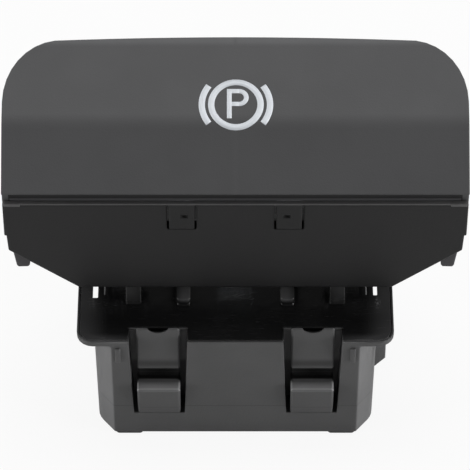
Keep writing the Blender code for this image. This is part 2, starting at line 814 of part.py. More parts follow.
def make_pivot_pin(name, side):
    """A headed pin through the frame's ear and the paddle's lug."""
    tip = side * (LUG_INNER + LUG_THICKNESS + GAP)
    head = side * (EAR_INNER - GAP)
    pin = bar(f"pivot_pin_{name}", PIVOT_Y, PIVOT_Z, PIN_RADIUS, *sorted((head, tip)))
    ends = sorted((head - side * PIN_HEAD_LENGTH, head + side * EDGE_TOLERANCE))
    join(pin, bar(f"pin_head_{name}", PIVOT_Y, PIVOT_Z, PIN_HEAD_RADIUS, *ends))
    return finish(pin, (0.55, 0.56, 0.58), 0.3, 1.0)


def make_return_spring(name, side):
    """A torsion spring on the pivot pin: one leg lies on the plate, one stands at the skirt."""
    start = SPRING_INNER + WIRE_RADIUS
    total = round(COIL_TURNS * COIL_STEPS)
    points = []
    for step in range(total + 1):
        share = step / total
        angle = math.pi + 2 * math.pi * step / COIL_STEPS
        x = side * (start + COIL_SPAN * share)
        y = PIVOT_Y + COIL_RADIUS * math.cos(angle)
        z = PIVOT_Z + COIL_RADIUS * math.sin(angle)
        points.append(Vector((x, y, z)))
    standing = points[0] + Vector((0, 0, SPRING_LEG_UP))
    leg_end = Vector((points[-1].x, points[-1].y + SPRING_LEG_LENGTH, FRAME_TOP + GAP + WIRE_RADIUS))
    spring = wire(f"return_spring_{name}", [standing, *points, leg_end], WIRE_RADIUS)
    return finish(spring, (0.5, 0.5, 0.52), 0.3, 1.0)


def crease_point():
    """Where the cap's steep lower face meets its flatter upper face."""
    angle = math.radians(CAP_LOWER_ANGLE)
    y = CAP_LIP_Y + CAP_LOWER_LENGTH * math.cos(angle)
    return y, CAP_LIP_Z + CAP_LOWER_LENGTH * math.sin(angle)


def far_point():
    """The top of the cap's far rim."""
    y, z = crease_point()
    angle = math.radians(CAP_UPPER_ANGLE)
    return y + CAP_UPPER_LENGTH * math.cos(angle), z + CAP_UPPER_LENGTH * math.sin(angle)


def skin_profile(depth):
    """Lip, crease and far points of the cap's skin, at a depth under its outer surface."""
    lower = math.radians(CAP_LOWER_ANGLE)
    upper = math.radians(CAP_UPPER_ANGLE)
    crease_y, crease_z = crease_point()
    far_y, far_z = far_point()
    middle = (lower + upper) / 2
    reach = depth / math.cos((lower - upper) / 2)
    lip_drop = depth / math.cos(lower)
    far_drop = depth / math.cos(upper)
    return (
        (CAP_LIP_Y, CAP_LIP_Z - lip_drop),
        (crease_y + reach * math.sin(middle), crease_z - reach * math.cos(middle)),
        (far_y, far_z - far_drop),
    )


def slope_height(points, y):
    """Height at y of the slanted skin that the lip, crease and far points describe."""
    low, high = points[:2] if y < points[1][0] else points[1:]
    share = (y - low[0]) / (high[0] - low[0])
    return low[1] + share * (high[1] - low[1])


def grip_arc():
    """The concave curve behind the paddle that fingers reach into, top to bottom."""
    centre = (GRIP_WALL_Y + GRIP_RADIUS, GRIP_Z)
    return arc(centre, GRIP_RADIUS, GRIP_TOP_ANGLE, 180, GRIP_STEPS)


def plan_outline(inset):
    """The paddle from above: square near corners, large far corners and a slightly bowed rim."""
    half = CAP_HALF_WIDTH - inset
    near = CAP_LIP_Y - 2 * PASS
    far = far_point()[0] - inset
    width = CAP_CORNER_WIDTH - inset
    length = CAP_CORNER_LENGTH - inset
    quarter = arc((0.0, 0.0), 1.0, 0, 84, 8)
    corner = [(half + width * (u - 1), far - CAP_BOW + length * (v - 1)) for u, v in quarter]
    right = [(half, near), *corner]
    return right + [(0.0, far)] + [(-x, y) for x, y in reversed(right)]


def cap_outer():
    """The cap's outer form in side view, down to the lower edge of its side walls."""
    lip, crease, far = skin_profile(0.0)
    band = lip[0] + BAND_INSET
    profile = [
        (band + BAND_DRAFT, CAP_SIDE_BOTTOM),
        (band, lip[1] - LIP_DROP),
        (lip[0], lip[1]),
        (crease[0], crease[1], CREASE_RADIUS),
        (far[0], far[1]),
        (far[0], far[1] - RIM_DROP),
        *grip_arc(),
        (GRIP_WALL_Y, CAP_SIDE_BOTTOM, GRIP_CORNER),
    ]
    return profile


def make_cap():
    """The dark grey paddle cap: slanted skin, rounded rim, side walls and two snap tabs."""
    width = CAP_HALF_WIDTH + PASS
    cap = prism("paddle_cap", cap_outer(), "X", -width, width)
    below = CAP_SIDE_BOTTOM - 2 * PASS
    top = far_point()[1] + 2 * PASS
    combine(cap, prism("cap_plan", plan_outline(0.0), "Z", below, top), "INTERSECT")
    bevel(cap, CAP_EDGE, segments=3, angle=40)
    lip, crease, far = skin_profile(CAP_WALL)
    band_back = CAP_LIP_Y + BAND_INSET + RIM_THICKNESS
    rim_front = far_point()[0] - RIM_THICKNESS
    band_bottom = CAP_LIP_Z - BAND_HEIGHT
    front_side = CAP_LIP_Y - 2 * PASS
    far_side = far_point()[0] + 2 * PASS
    inner = [
        (front_side, band_bottom),
        (band_back, band_bottom),
        (band_back, slope_height((lip, crease, far), band_back)),
        (crease[0], crease[1], CREASE_RADIUS - CAP_WALL),
        (rim_front, slope_height((lip, crease, far), rim_front)),
        (rim_front, far_point()[1] - RIM_DROP),
        (far_side, far_point()[1] - RIM_DROP),
        (far_side, below),
        (front_side, below),
    ]
    step_range = (front_side, SKIRT_BACK + GAP)
    cut(cap, block("cap_step", (-width, width), step_range, (below, band_bottom)))
    hollow = prism("cap_hollow", inner, "X", -width, width)
    plan = prism("cap_hollow_plan", plan_outline(CAP_WALL), "Z", below - PASS, top)
    combine(hollow, plan, "INTERSECT")
    cut(cap, hollow)
    for name, side in SIDES:
        join(cap, snap_tab(f"tab_{name}", side))
    return finish(cap, (0.095, 0.096, 0.1), 0.55)


def snap_tab(name, side):
    """A tab under the cap's front band that holds in the carrier's front wall."""
    x_range = sorted((side * (TAB_X - TAB_WIDTH / 2), side * (TAB_X + TAB_WIDTH / 2)))
    y_range = (CARRIER_FRONT - TAB_PROUD, CAP_LIP_Y + BAND_INSET + RIM_THICKNESS)
    band_bottom = CAP_LIP_Z - BAND_HEIGHT
    return block(name, x_range, y_range, (band_bottom - TAB_LENGTH, band_bottom + OVERLAP), TAB_CORNER)


def grip_top_angle(skin, radius, rear):
    """Angle in degrees at which a curve round the grip's centre reaches the skin or the rear face."""
    low = 90.0
    high = 180.0
    for _ in range(30):
        middle = (low + high) / 2
        y, z = arc((GRIP_WALL_Y + GRIP_RADIUS, GRIP_Z), radius, middle, middle, 1)[0]
        if y < rear and z < slope_height(skin, y):
            high = middle
        else:
            low = middle
    return high


def carrier_profile(inset):
    """The carrier's body in side view, inside the cap and in front of the grip curve."""
    skin = skin_profile(CAP_WALL + GAP + inset)
    front = CAP_LIP_Y + BAND_INSET + RIM_THICKNESS + GAP + inset
    skirt = CARRIER_FRONT + SKIRT_COVER if inset == 0 else CARRIER_FRONT + inset
    skirt_top = CAP_LIP_Z - BAND_HEIGHT - GAP - max(inset, SKIRT_COVER)
    rear = far_point()[0] - RIM_THICKNESS - GAP - inset
    radius = GRIP_RADIUS + inset
    top_angle = grip_top_angle(skin, radius, rear)
    curve = arc((GRIP_WALL_Y + GRIP_RADIUS, GRIP_Z), radius, top_angle, 180, GRIP_STEPS)
    rear_top = slope_height(skin, curve[0][0])
    rear_face = [(curve[0][0], rear_top)] if rear_top - curve[0][1] > EDGE_TOLERANCE else []
    bottom = SHELL_BOTTOM - 2 * inset
    return [
        (skirt, bottom),
        (skirt, skirt_top),
        (front, skirt_top),
        (front, slope_height(skin, front)),
        (skin[1][0], skin[1][1], CREASE_RADIUS - CAP_WALL),
        *rear_face,
        *curve,
        (GRIP_WALL_Y - inset, bottom),
    ]


def make_carrier():
    """The dark carrier: front skirt, shell under the cap, hinge lugs, end pegs and two stems."""
    half = CARRIER_HALF_WIDTH + PASS
    below = SHELL_BOTTOM - 3 * CARRIER_WALL
    top = far_point()[1] + PASS
    carrier = prism("paddle_carrier", carrier_profile(0.0), "X", -half, half)
    combine(carrier, prism("carrier_plan", plan_outline(CAP_WALL + GAP), "Z", below, top), "INTERSECT")
    hollow = prism("carrier_hollow", carrier_profile(CARRIER_WALL), "X", -half, half)
    inner_plan = plan_outline(CAP_WALL + GAP + CARRIER_WALL)
    combine(hollow, prism("carrier_hollow_plan", inner_plan, "Z", below - PASS, top), "INTERSECT")
    cut(carrier, hollow)
    join(carrier, front_skirt())
    for name, side in SIDES:
        join(carrier, end_peg(f"peg_{name}", side))
        join(carrier, hinge_lug(f"lug_{name}", side), stem(f"stem_{name}", side))
        cut(carrier, pivot_hole(f"lug_hole_{name}", side, LUG_INNER, LUG_THICKNESS))
        cut(carrier, tab_window(f"tab_window_{name}", side))
    reach = GUIDE_HALF_WIDTH + GAP
    opening = prism("guide_opening", guide_opening_profile(), "X", -reach, reach)
    cut(carrier, opening)
    return finish(carrier, (0.028, 0.028, 0.03), 0.5)


def front_skirt():
    """The carrier's front wall: wide and upright above, drawn in by two slants below."""
    band_bottom = CAP_LIP_Z - BAND_HEIGHT - GAP
    side = SKIRT_LOW_HALF_WIDTH - SKIRT_DRAFT
    nose = side - SKIRT_NOSE_WIDTH
    half = [
        (nose - SKIRT_SLANT_WIDTH, SKIRT_BOTTOM),
        (nose, SKIRT_SIDE_BOTTOM),
        (side, SKIRT_SIDE_BOTTOM + SKIRT_NOSE_HEIGHT),
        (SKIRT_LOW_HALF_WIDTH, CAP_SIDE_BOTTOM),
        (CAP_HALF_WIDTH, CAP_SIDE_BOTTOM),
        (CAP_HALF_WIDTH, band_bottom),
    ]
    outline = half + [(-x, z) for x, z in reversed(half)]
    skirt = prism("front_skirt", outline, "Y", CARRIER_FRONT, SKIRT_BACK)
    bevel(skirt, SKIRT_EDGE)
    return skirt


def end_peg(name, side):
    """A tapered peg behind the skirt's slant, at the paddle's end."""
    outline = [
        (PEG_INNER - PEG_TAPER, SKIRT_SIDE_BOTTOM + PEG_ROOT),
        (PEG_INNER, PEG_BOTTOM, PEG_CORNER),
        (PEG_OUTER - PEG_TAPER, PEG_BOTTOM, PEG_CORNER),
        (PEG_OUTER, SKIRT_SIDE_BOTTOM),
        (PEG_OUTER, SKIRT_SIDE_BOTTOM + PEG_ROOT),
    ]
    return prism(name, mirrored(outline, side), "Y", SKIRT_BACK - OVERLAP, SKIRT_BACK + PEG_DEPTH)


def hinge_lug(name, side):
    """A rib of the carrier that hangs down around the pivot."""
    head = arc((PIVOT_Y, PIVOT_Z), LUG_RADIUS, 180, 360, 12)
    front = SKIRT_BACK - OVERLAP
    roof_front = CAP_LIP_Y + BAND_INSET + RIM_THICKNESS + GAP + OVERLAP
    step = CAP_LIP_Z - BAND_HEIGHT - GAP - CARRIER_WALL / 2
    top = slope_height(skin_profile(CAP_WALL + GAP), roof_front) - CARRIER_WALL / 2
    outline = [
        (roof_front, top),
        (roof_front, step),
        (front, step),
        (front, PIVOT_Z + 2 * LUG_RADIUS),
        *head,
        (PIVOT_Y + LUG_RADIUS, top),
    ]
    ends = sorted((side * LUG_INNER, side * (LUG_INNER + LUG_THICKNESS)))
    return prism(name, outline, "X", *ends)


def stem(name, side):
    """An arm that reaches down through the frame and moves the contact carriage."""
    half = STEM_THICKNESS / 2
    roof = slope_height(skin_profile(CAP_WALL + GAP), STEM_Y - half) - CARRIER_WALL / 2
    tip = arc((STEM_Y, STEM_TIP_Z), STEM_TIP_RADIUS, 210, 330, 8)
    outline = [
        (STEM_Y + half, roof),
        (STEM_Y - half, roof),
        (STEM_Y - half * STEM_NECK_SHARE, STEM_TIP_Z + 2 * STEM_TIP_RADIUS),
        *tip,
        (STEM_Y + half * STEM_NECK_SHARE, STEM_TIP_Z + 2 * STEM_TIP_RADIUS),
    ]
    ends = sorted((side * (STEM_X - STEM_WIDTH / 2), side * (STEM_X + STEM_WIDTH / 2)))
    return prism(name, outline, "X", *ends)


def tab_window(name, side):
    """The window in the front wall that a snap tab of the cap fills."""
    half = TAB_WIDTH / 2 + GAP
    x_range = sorted((side * (TAB_X - half), side * (TAB_X + half)))
    bottom = CAP_LIP_Z - BAND_HEIGHT - TAB_LENGTH - GAP
    return block(name, x_range, (CARRIER_FRONT - PASS, SKIRT_BACK + PASS), (bottom, CAP_LIP_Z))


def guide_opening_profile():
    """The opening in the carrier's roof that the light guide's head and body pass through."""
    skin = skin_profile(CAP_WALL + GAP)
    front = GUIDE_HEAD_FRONT - GAP
    rear = GUIDE_HEAD_REAR + GAP
    body_rear = GUIDE_BODY_REAR + GAP
    depth = GUIDE_HEAD_THICKNESS + GAP
    above = OVERLAP
    return [
        (front, slope_height(skin, front) + above),
        (skin[1][0], skin[1][1] + above),
        (rear, slope_height(skin, rear) + above),
        (rear, slope_height(skin, rear) - depth),
        (body_rear, slope_height(skin, body_rear) - depth),
        (body_rear, GUIDE_NECK_Z + CARRIER_WALL),
        (front, GUIDE_NECK_Z + CARRIER_WALL),
    ]


def make_light_guide():
    """The clear guide from the lamp on the board up to the symbol under the cap."""
    skin = skin_profile(CAP_WALL + GAP)
    front = GUIDE_HEAD_FRONT
    rear = GUIDE_HEAD_REAR
    tip_z = BOARD_TOP + GAP + LED_HEIGHT + LED_LENS_HEIGHT + 2 * GAP
    side_view = [
        (front, slope_height(skin, front)),
        (skin[1][0], skin[1][1], CREASE_RADIUS - CAP_WALL),
        (rear, slope_height(skin, rear)),
        (rear, slope_height(skin, rear) - GUIDE_HEAD_THICKNESS),
        (GUIDE_BODY_REAR, slope_height(skin, GUIDE_BODY_REAR) - GUIDE_HEAD_THICKNESS),
        (GUIDE_BODY_REAR, GUIDE_BODY_Z),
        (GUIDE_NECK_REAR, GUIDE_NECK_Z),
        (GUIDE_TIP_REAR, tip_z, GUIDE_TIP_EDGE),
        (GUIDE_TIP_FRONT, tip_z, GUIDE_TIP_EDGE),
        (GUIDE_NECK_FRONT, GUIDE_NECK_Z),
    ]
    half_front_view = [
        (GUIDE_HALF_WIDTH, skin[2][1]),
        (GUIDE_HALF_WIDTH, GUIDE_BODY_Z),
        (GUIDE_NECK_HALF_WIDTH, GUIDE_NECK_Z),
        (GUIDE_TIP_HALF_WIDTH, tip_z - PASS),
    ]
    front_view = half_front_view + [(-x, z) for x, z in reversed(half_front_view)]
    reach = GUIDE_HALF_WIDTH + PASS
    guide = prism("light_guide", side_view, "X", -reach, reach)
    widths = prism("guide_widths", front_view, "Y", GUIDE_NECK_FRONT - PASS, rear + PASS)
    combine(guide, widths, "INTERSECT")
    return finish(guide, (0.85, 0.87, 0.9), 0.08, 0.0, 0.9)


def make_board():
    """The circuit board with the pins' holes."""
    half_x = CAVITY_HALF_WIDTH - BOARD_MARGIN
    half_y = CAVITY_HALF_DEPTH - BOARD_MARGIN
    z_range = (BOARD_BOTTOM, BOARD_TOP)
    board = block("circuit_board", (-half_x, half_x), (-half_y, half_y), z_range, BOARD_CORNER)
    for index in range(PIN_COUNT):
        cut(board, pin_hole("board_hole", index, BOARD_BOTTOM - PASS, BOARD_TOP + PASS))
    return finish(board, (0.02, 0.12, 0.05), 0.4)


def make_header():
    """The insulating strip that holds the connector pins under the floor."""
    top = FLOOR_TOP - FLOOR_THICKNESS - GAP
    header = block(
        "pin_header",
        (-HEADER_HALF_WIDTH, HEADER_HALF_WIDTH),
        (PIN_Y - HEADER_DEPTH / 2, PIN_Y + HEADER_DEPTH / 2),
        (top - HEADER_HEIGHT, top),
        HEADER_CORNER,
    )
    for index in range(PIN_COUNT):
        cut(header, pin_hole("header_hole", index, top - HEADER_HEIGHT - PASS, top + PASS))
    return finish(header, (0.02, 0.02, 0.02), 0.5)


def make_pin(index):
    """One square connector pin with pointed ends."""
    half = PIN_SIZE / 2
    x = pin_x(index)
    top = BOARD_TOP + PIN_RISE
    outline = [
        (x - half, PIN_BOTTOM + PIN_SIZE),
        (x - half / 2, PIN_BOTTOM),
        (x + half / 2, PIN_BOTTOM),
        (x + half, PIN_BOTTOM + PIN_SIZE),
        (x + half, top),
        (x - half, top),
    ]
    pin = prism(f"contact_pin_{index + 1}", outline, "Y", PIN_Y - half, PIN_Y + half)
    return finish(pin, (0.8, 0.72, 0.5), 0.25, 1.0)


def make_led():
    """The lamp on the board under the light guide."""
    bottom = BOARD_TOP + GAP
    y_range = (LED_Y - LED_DEPTH / 2, LED_Y + LED_DEPTH / 2)
    led = block("led", (-LED_WIDTH / 2, LED_WIDTH / 2), y_range, (bottom, bottom + LED_HEIGHT))
    top = bottom + LED_HEIGHT
    lens = prism("led_lens", circle((0.0, LED_Y), LED_LENS_RADIUS), "Z", top - LED_HEIGHT / 2, top + LED_LENS_HEIGHT)
    join(led, lens)
    return finish(led, (0.8, 0.8, 0.7), 0.3)


def make_resistor(name, side):
    """A small resistor on the board."""
    x = side * RESISTOR_X
    x_range = (x - RESISTOR_WIDTH / 2, x + RESISTOR_WIDTH / 2)
    y_range = (RESISTOR_Y - RESISTOR_DEPTH / 2, RESISTOR_Y + RESISTOR_DEPTH / 2)
    bottom = BOARD_TOP + GAP
    resistor = block(f"resistor_{name}", x_range, y_range, (bottom, bottom + RESISTOR_HEIGHT))
    return finish(resistor, (0.03, 0.03, 0.03), 0.4)


def make_slider():
    """The contact carriage that the paddle's stems push to and fro."""
    half = RAIL_INNER - GAP
    tongue = half + TONGUE_REACH
    tongue_top = TONGUE_BOTTOM + TONGUE_HEIGHT
    right = [
        (half, SLIDER_BOTTOM),
        (half, TONGUE_BOTTOM),
        (tongue, TONGUE_BOTTOM),
        (tongue, tongue_top),
        (half, tongue_top),
        (half, SLIDER_TOP),
    ]
    outline = right + [(-x, z) for x, z in reversed(right)]
    slider = prism("contact_slider", outline, "Y", SLIDER_FRONT, SLIDER_REAR)
    opening = block(
        "slider_opening",
        (-SLIDER_HOLE_HALF_WIDTH, SLIDER_HOLE_HALF_WIDTH),
        (SLIDER_HOLE_FRONT, SLIDER_HOLE_REAR),
        (SLIDER_BOTTOM - PASS, SLIDER_TOP + PASS),
        SLIDER_HOLE_CORNER,
    )
    cut(slider, opening)
    for name, side in SIDES:
        cut(slider, fork_slot(f"fork_slot_{name}", side))
    return finish(slider, (0.75, 0.74, 0.7), 0.5)


def fork_slot(name, side):
    """The slot in the carriage that a stem's round tip moves in."""
    half_x = STEM_WIDTH / 2 + GAP
    half_y = STEM_TIP_RADIUS + GAP
    x_range = sorted((side * (STEM_X - half_x), side * (STEM_X + half_x)))
    floor = STEM_TIP_Z - STEM_TIP_RADIUS - 2 * GAP
    return block(name, x_range, (STEM_Y - half_y, STEM_Y + half_y), (floor, SLIDER_TOP + PASS))


def make_wiper(name, side):
    """A bronze wiper leaf under the carriage, with a bent end that runs on the board."""
    base = WIPER_BOTTOM
    near = STEM_Y - WIPER_LENGTH / 2
    far = STEM_Y + WIPER_LENGTH / 2
    lower = [
        (near, base),
        (far - 2 * WIPER_BEND, base),
        (far - WIPER_BEND, base - WIPER_DIMPLE),
        (far, base),
    ]
    outline = lower + [(y, z + WIPER_THICKNESS) for y, z in reversed(lower)]
    ends = sorted((side * (STEM_X - WIPER_WIDTH / 2), side * (STEM_X + WIPER_WIDTH / 2)))
    wiper = prism(f"wiper_{name}", outline, "X", *ends)
    return finish(wiper, (0.72, 0.45, 0.2), 0.3, 1.0)


def make_axis(name, x, y, z):
    """An empty that carries a moving group on its joint."""
    empty = bpy.data.objects.new(name, None)
    empty.empty_display_size = 5 * MM
    empty.location = Vector((x, y, z)) * MM
    bpy.context.scene.collection.objects.link(empty)
    return empty


def main():
    """Builds every piece and parents the moving ones to their axes."""
    clear_scene()
    make_housing()
    make_frame()
    make_board()
    make_header()
    make_led()
    for index in range(PIN_COUNT):
        make_pin(index)
    for name, side in SIDES:
        make_resistor(name, side)
        make_pivot_pin(name, side)
        make_return_spring(name, side)
    paddle_axis = make_axis("paddle_axis", 0.0, PIVOT_Y, PIVOT_Z)
    carry(paddle_axis, make_cap(), make_carrier(), make_light_guide())
    slider_axis = make_axis("slider_axis", 0.0, STEM_Y, SLIDER_BOTTOM)
    carry(slider_axis, make_slider(), *(make_wiper(name, side) for name, side in SIDES))


main()
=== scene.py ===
"""Looks of the electric parking brake switch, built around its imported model.

Lengths in the classes are in millimetres. The model's frame is in metres: +X runs to the right
along the paddle, +Y away from the paddle's front wall, +Z up from the corner feet.
"""
import logging
import math
from dataclasses import dataclass, field
from enum import Enum
from typing import Any, Callable, Iterable, Sequence

import bmesh
import bpy
from mathutils import Matrix, Vector


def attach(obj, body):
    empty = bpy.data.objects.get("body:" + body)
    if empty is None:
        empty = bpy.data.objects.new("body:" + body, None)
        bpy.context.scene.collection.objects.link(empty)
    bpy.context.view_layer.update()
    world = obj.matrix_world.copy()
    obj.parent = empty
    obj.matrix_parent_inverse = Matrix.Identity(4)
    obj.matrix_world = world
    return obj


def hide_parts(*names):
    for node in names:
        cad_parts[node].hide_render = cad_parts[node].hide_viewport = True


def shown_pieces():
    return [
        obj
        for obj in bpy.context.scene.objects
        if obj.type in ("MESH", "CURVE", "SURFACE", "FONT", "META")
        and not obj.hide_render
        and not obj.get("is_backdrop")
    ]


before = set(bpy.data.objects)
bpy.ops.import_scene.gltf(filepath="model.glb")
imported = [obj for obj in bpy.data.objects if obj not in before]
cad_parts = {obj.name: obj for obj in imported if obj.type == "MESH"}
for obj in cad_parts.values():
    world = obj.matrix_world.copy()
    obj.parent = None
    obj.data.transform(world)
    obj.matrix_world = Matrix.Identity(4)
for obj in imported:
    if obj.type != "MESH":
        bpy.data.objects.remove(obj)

MM = 0.001
PHOTO_SIDE = 470
WELD = 0.002  # how near vertices merge
FLAT = math.radians(0.4)  # how level faces merge
LOG = logging.getLogger("parking_brake_switch")

Material = bpy.types.Material
Piece = bpy.types.Object
Shape = bmesh.types.BMesh
Colour = tuple[float, float, float]
Point = tuple[float, float]
Triple = tuple[float, float, float]

PIVOT: Point = (-4.2, 25.2)  # the paddle's axis in Y and Z
AXLE: Triple = (1.0, 0.0, 0.0)
WHITE = (1.0, 1.0, 1.0, 1.0)


class Body(Enum):
    """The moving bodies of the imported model."""

    BASE = "base"
    PADDLE = "paddle"
    CARRIAGE = "carriage"


class Side(Enum):
    """The two ends of the switch, with the sign of their X."""

    LEFT = -1
    RIGHT = 1


def scaled(colour: Colour, level: float, lift: float = 0.0) -> Colour:
    """A paler or darker version of a colour."""
    red, green, blue = (min(1.0, part * level + lift) for part in colour)
    return red, green, blue


class Signal:
    """A shader value that takes part in Python arithmetic."""

    def __init__(self, recipe: "Recipe", socket: bpy.types.NodeSocket) -> None:
        """Wraps a socket of the recipe's tree."""
        self.recipe = recipe
        self.socket = socket

    def _join(self, operation: str, *values: Any) -> "Signal":
        """The result of a Math node that takes these values."""
        inputs = dict(enumerate(values))
        return self.recipe.node("Math", {"operation": operation}, inputs)[0]

    def __add__(self, other: Any) -> "Signal":
        """Sum."""
        return self._join("ADD", self, other)

    __radd__ = __add__

    def __sub__(self, other: Any) -> "Signal":
        """Difference."""
        return self._join("SUBTRACT", self, other)

    def __rsub__(self, other: Any) -> "Signal":
        """Difference from the other value."""
        return self._join("SUBTRACT", other, self)

    def __mul__(self, other: Any) -> "Signal":
        """Product."""
        return self._join("MULTIPLY", self, other)

    __rmul__ = __mul__

    def __abs__(self) -> "Signal":
        """Distance from zero."""
        return self._join("ABSOLUTE", self)

    def above(self, limit: float) -> "Signal":
        """One where the value is above so many millimetres, else zero."""
        return self._join("GREATER_THAN", self, limit * MM)

    def below(self, limit: float) -> "Signal":
        """One where the value is below so many millimetres, else zero."""
        return self._join("LESS_THAN", self, limit * MM)

    def fade(self, start: float, end: float) -> "Signal":
        """Zero before start and one past end, with a soft step between.

        Args:
            start: where it leaves zero.
            end: where it reaches one.

        Returns:
            The step.
        """
        inputs = {"Value": self, "From Min": start, "From Max": end}
        settings = {"interpolation_type": "SMOOTHSTEP", "clamp": True}
        return self.recipe.node("MapRange", settings, inputs)[0]

    def step(self, places: Point) -> "Signal":
        """The same soft step between two places in millimetres."""
        return self.fade(places[0] * MM, places[1] * MM)

    def limited(self) -> "Signal":
        """The value kept between zero and one."""
        return self.recipe.node("Clamp", {}, {"Value": self})[0]


class Recipe:
    """The node tree of one material or of the world."""

    def __init__(self, owner: Material | bpy.types.World) -> None:
        """Empties the tree of a new material or world.

        Args:
            owner: the material or world.
        """
        owner.use_nodes = True
        self.owner = owner
        self.tree = owner.node_tree
        self.tree.nodes.clear()

    @classmethod
    def material(cls, name: str) -> "Recipe":
        """A recipe for a new material."""
        return cls(bpy.data.materials.new(name))

    def node(self, kind: str, settings: dict[str, Any], inputs: dict[Any, Any]) -> list[Signal]:
        """Adds a node of any kind.

        Args:
            kind: the node's type, without its ShaderNode prefix.
            settings: its properties.
            inputs: a value or signal for each socket, by name or number.

        Returns:
            Its outputs, in order.
        """
        made = self.tree.nodes.new(f"ShaderNode{kind}")
        for key, value in settings.items():
            setattr(made, key, value)
        for key, value in inputs.items():
            if isinstance(value, Signal):
                self.tree.links.new(value.socket, made.inputs[key])
            else:
                made.inputs[key].default_value = value
        return [Signal(self, socket) for socket in made.outputs]

    def place(self) -> tuple[Signal, ...]:
        """Reads the object coordinates.

        Returns:
            The whole vector, and X, Y and Z in metres.
        """
        where = self.node("TexCoord", {}, {})[3]
        x, y, z = self.node("SeparateXYZ", {}, {0: where})
        return where, x, y, z

    def noise(self, where: Signal, cell: float, detail: float = 2.0, rough: float = 0.5) -> Signal:
        """Soft noise whose cells are so many millimetres wide."""
        inputs = {"Vector": where, "Scale": 1.0 / (cell * MM), "Detail": detail, "Roughness": rough}
        return self.node("TexNoise", {}, inputs)[0]

    def cells(self, where: Signal, cell: float) -> Signal:
        """Distance to the nearest of scattered points, one per cell of that many millimetres."""
        inputs = {"Vector": where, "Scale": 1.0 / (cell * MM)}
        return self.node("TexVoronoi", {}, inputs)[0]

    def tint(self, share: Any, first: Any, second: Any) -> Signal:
        """Mixes two colours.

        Args:
            share: how much of the second colour.
            first: the colour at zero.
            second: the colour at one.

        Returns:
            The mixed colour.
        """
        first = (*first, 1.0) if isinstance(first, tuple) else first
        second = (*second, 1.0) if isinstance(second, tuple) else second
        settings = {"data_type": "RGBA"}
        return self.node("Mix", settings, {0: share, 6: first, 7: second})[2]

    def rounded_edges(self, radius: float) -> tuple[Signal, Signal]:
        """Normals that round every edge, and a mask that is one on the edges.

        Args:
            radius: the edges' radius in millimetres.

        Returns:
            The rounded normal and the edge mask.
        """
        soft = self.node("Bevel", {"samples": 6}, {"Radius": radius * MM})[0]
        hard = self.node("NewGeometry", {}, {})[1]
        dot = {"operation": "DOT_PRODUCT"}
        along = self.node("VectorMath", dot, {0: soft, 1: hard})[1]
        return soft, (1.0 - along).fade(0.01, 0.16)

    def bump(
        self, height: Signal, depth: float, normal: Signal | None, strength: float = 1.0
    ) -> Signal:
        """Bends a normal by a height.

        Args:
            height: the relief, from zero to one.
            depth: its depth in millimetres.
            normal: the normal that it bends, or None for the surface's own.
            strength: how much it counts.

        Returns:
            The bent normal.
        """
        inputs = {"Height": height, "Distance": depth * MM, "Strength": strength}
        if normal is not None:
            inputs["Normal"] = normal
        return self.node("Bump", {}, inputs)[0]

    def finish(self, inputs: dict[str, Any]) -> Material:
        """Closes a material's tree with a Principled shader.

        Args:
            inputs: values and signals for the shader's sockets.

        Returns:
            The finished material.
        """
        shader = self.node("BsdfPrincipled", {}, inputs)[0]
        self.node("OutputMaterial", {}, {0: shader})
        return self.owner


@dataclass(frozen=True)
class Zone:
    """A box at both ends of the switch whose colour is made paler or darker, mostly as painted
    light and shade.
    """

    part: str
    low: Triple
    high: Triple
    level: float
    soft: float = 0.1

    def apply(self, recipe: Recipe, axes: Sequence[Signal], base: Signal) -> Signal:
        """Changes the base colour inside the box.

        Args:
            recipe: the tree so far.
            axes: X without its sign, Y and Z.
            base: the colour so far.

        Returns:
            The changed colour.
        """
        steps = [
            value.step((place - soft, place + soft))
            for value, low, high in zip(axes, self.low, self.high)
            for place, soft in ((low, self.soft), (high, -self.soft))
        ]
        share = math.prod(steps[1:], start=steps[0])
        settings = {"data_type": "RGBA", "blend_type": "MULTIPLY"}
        level = (self.level, self.level, self.level, 1.0)
        return recipe.node("Mix", settings, {0: share, 6: base, 7: level})[2]


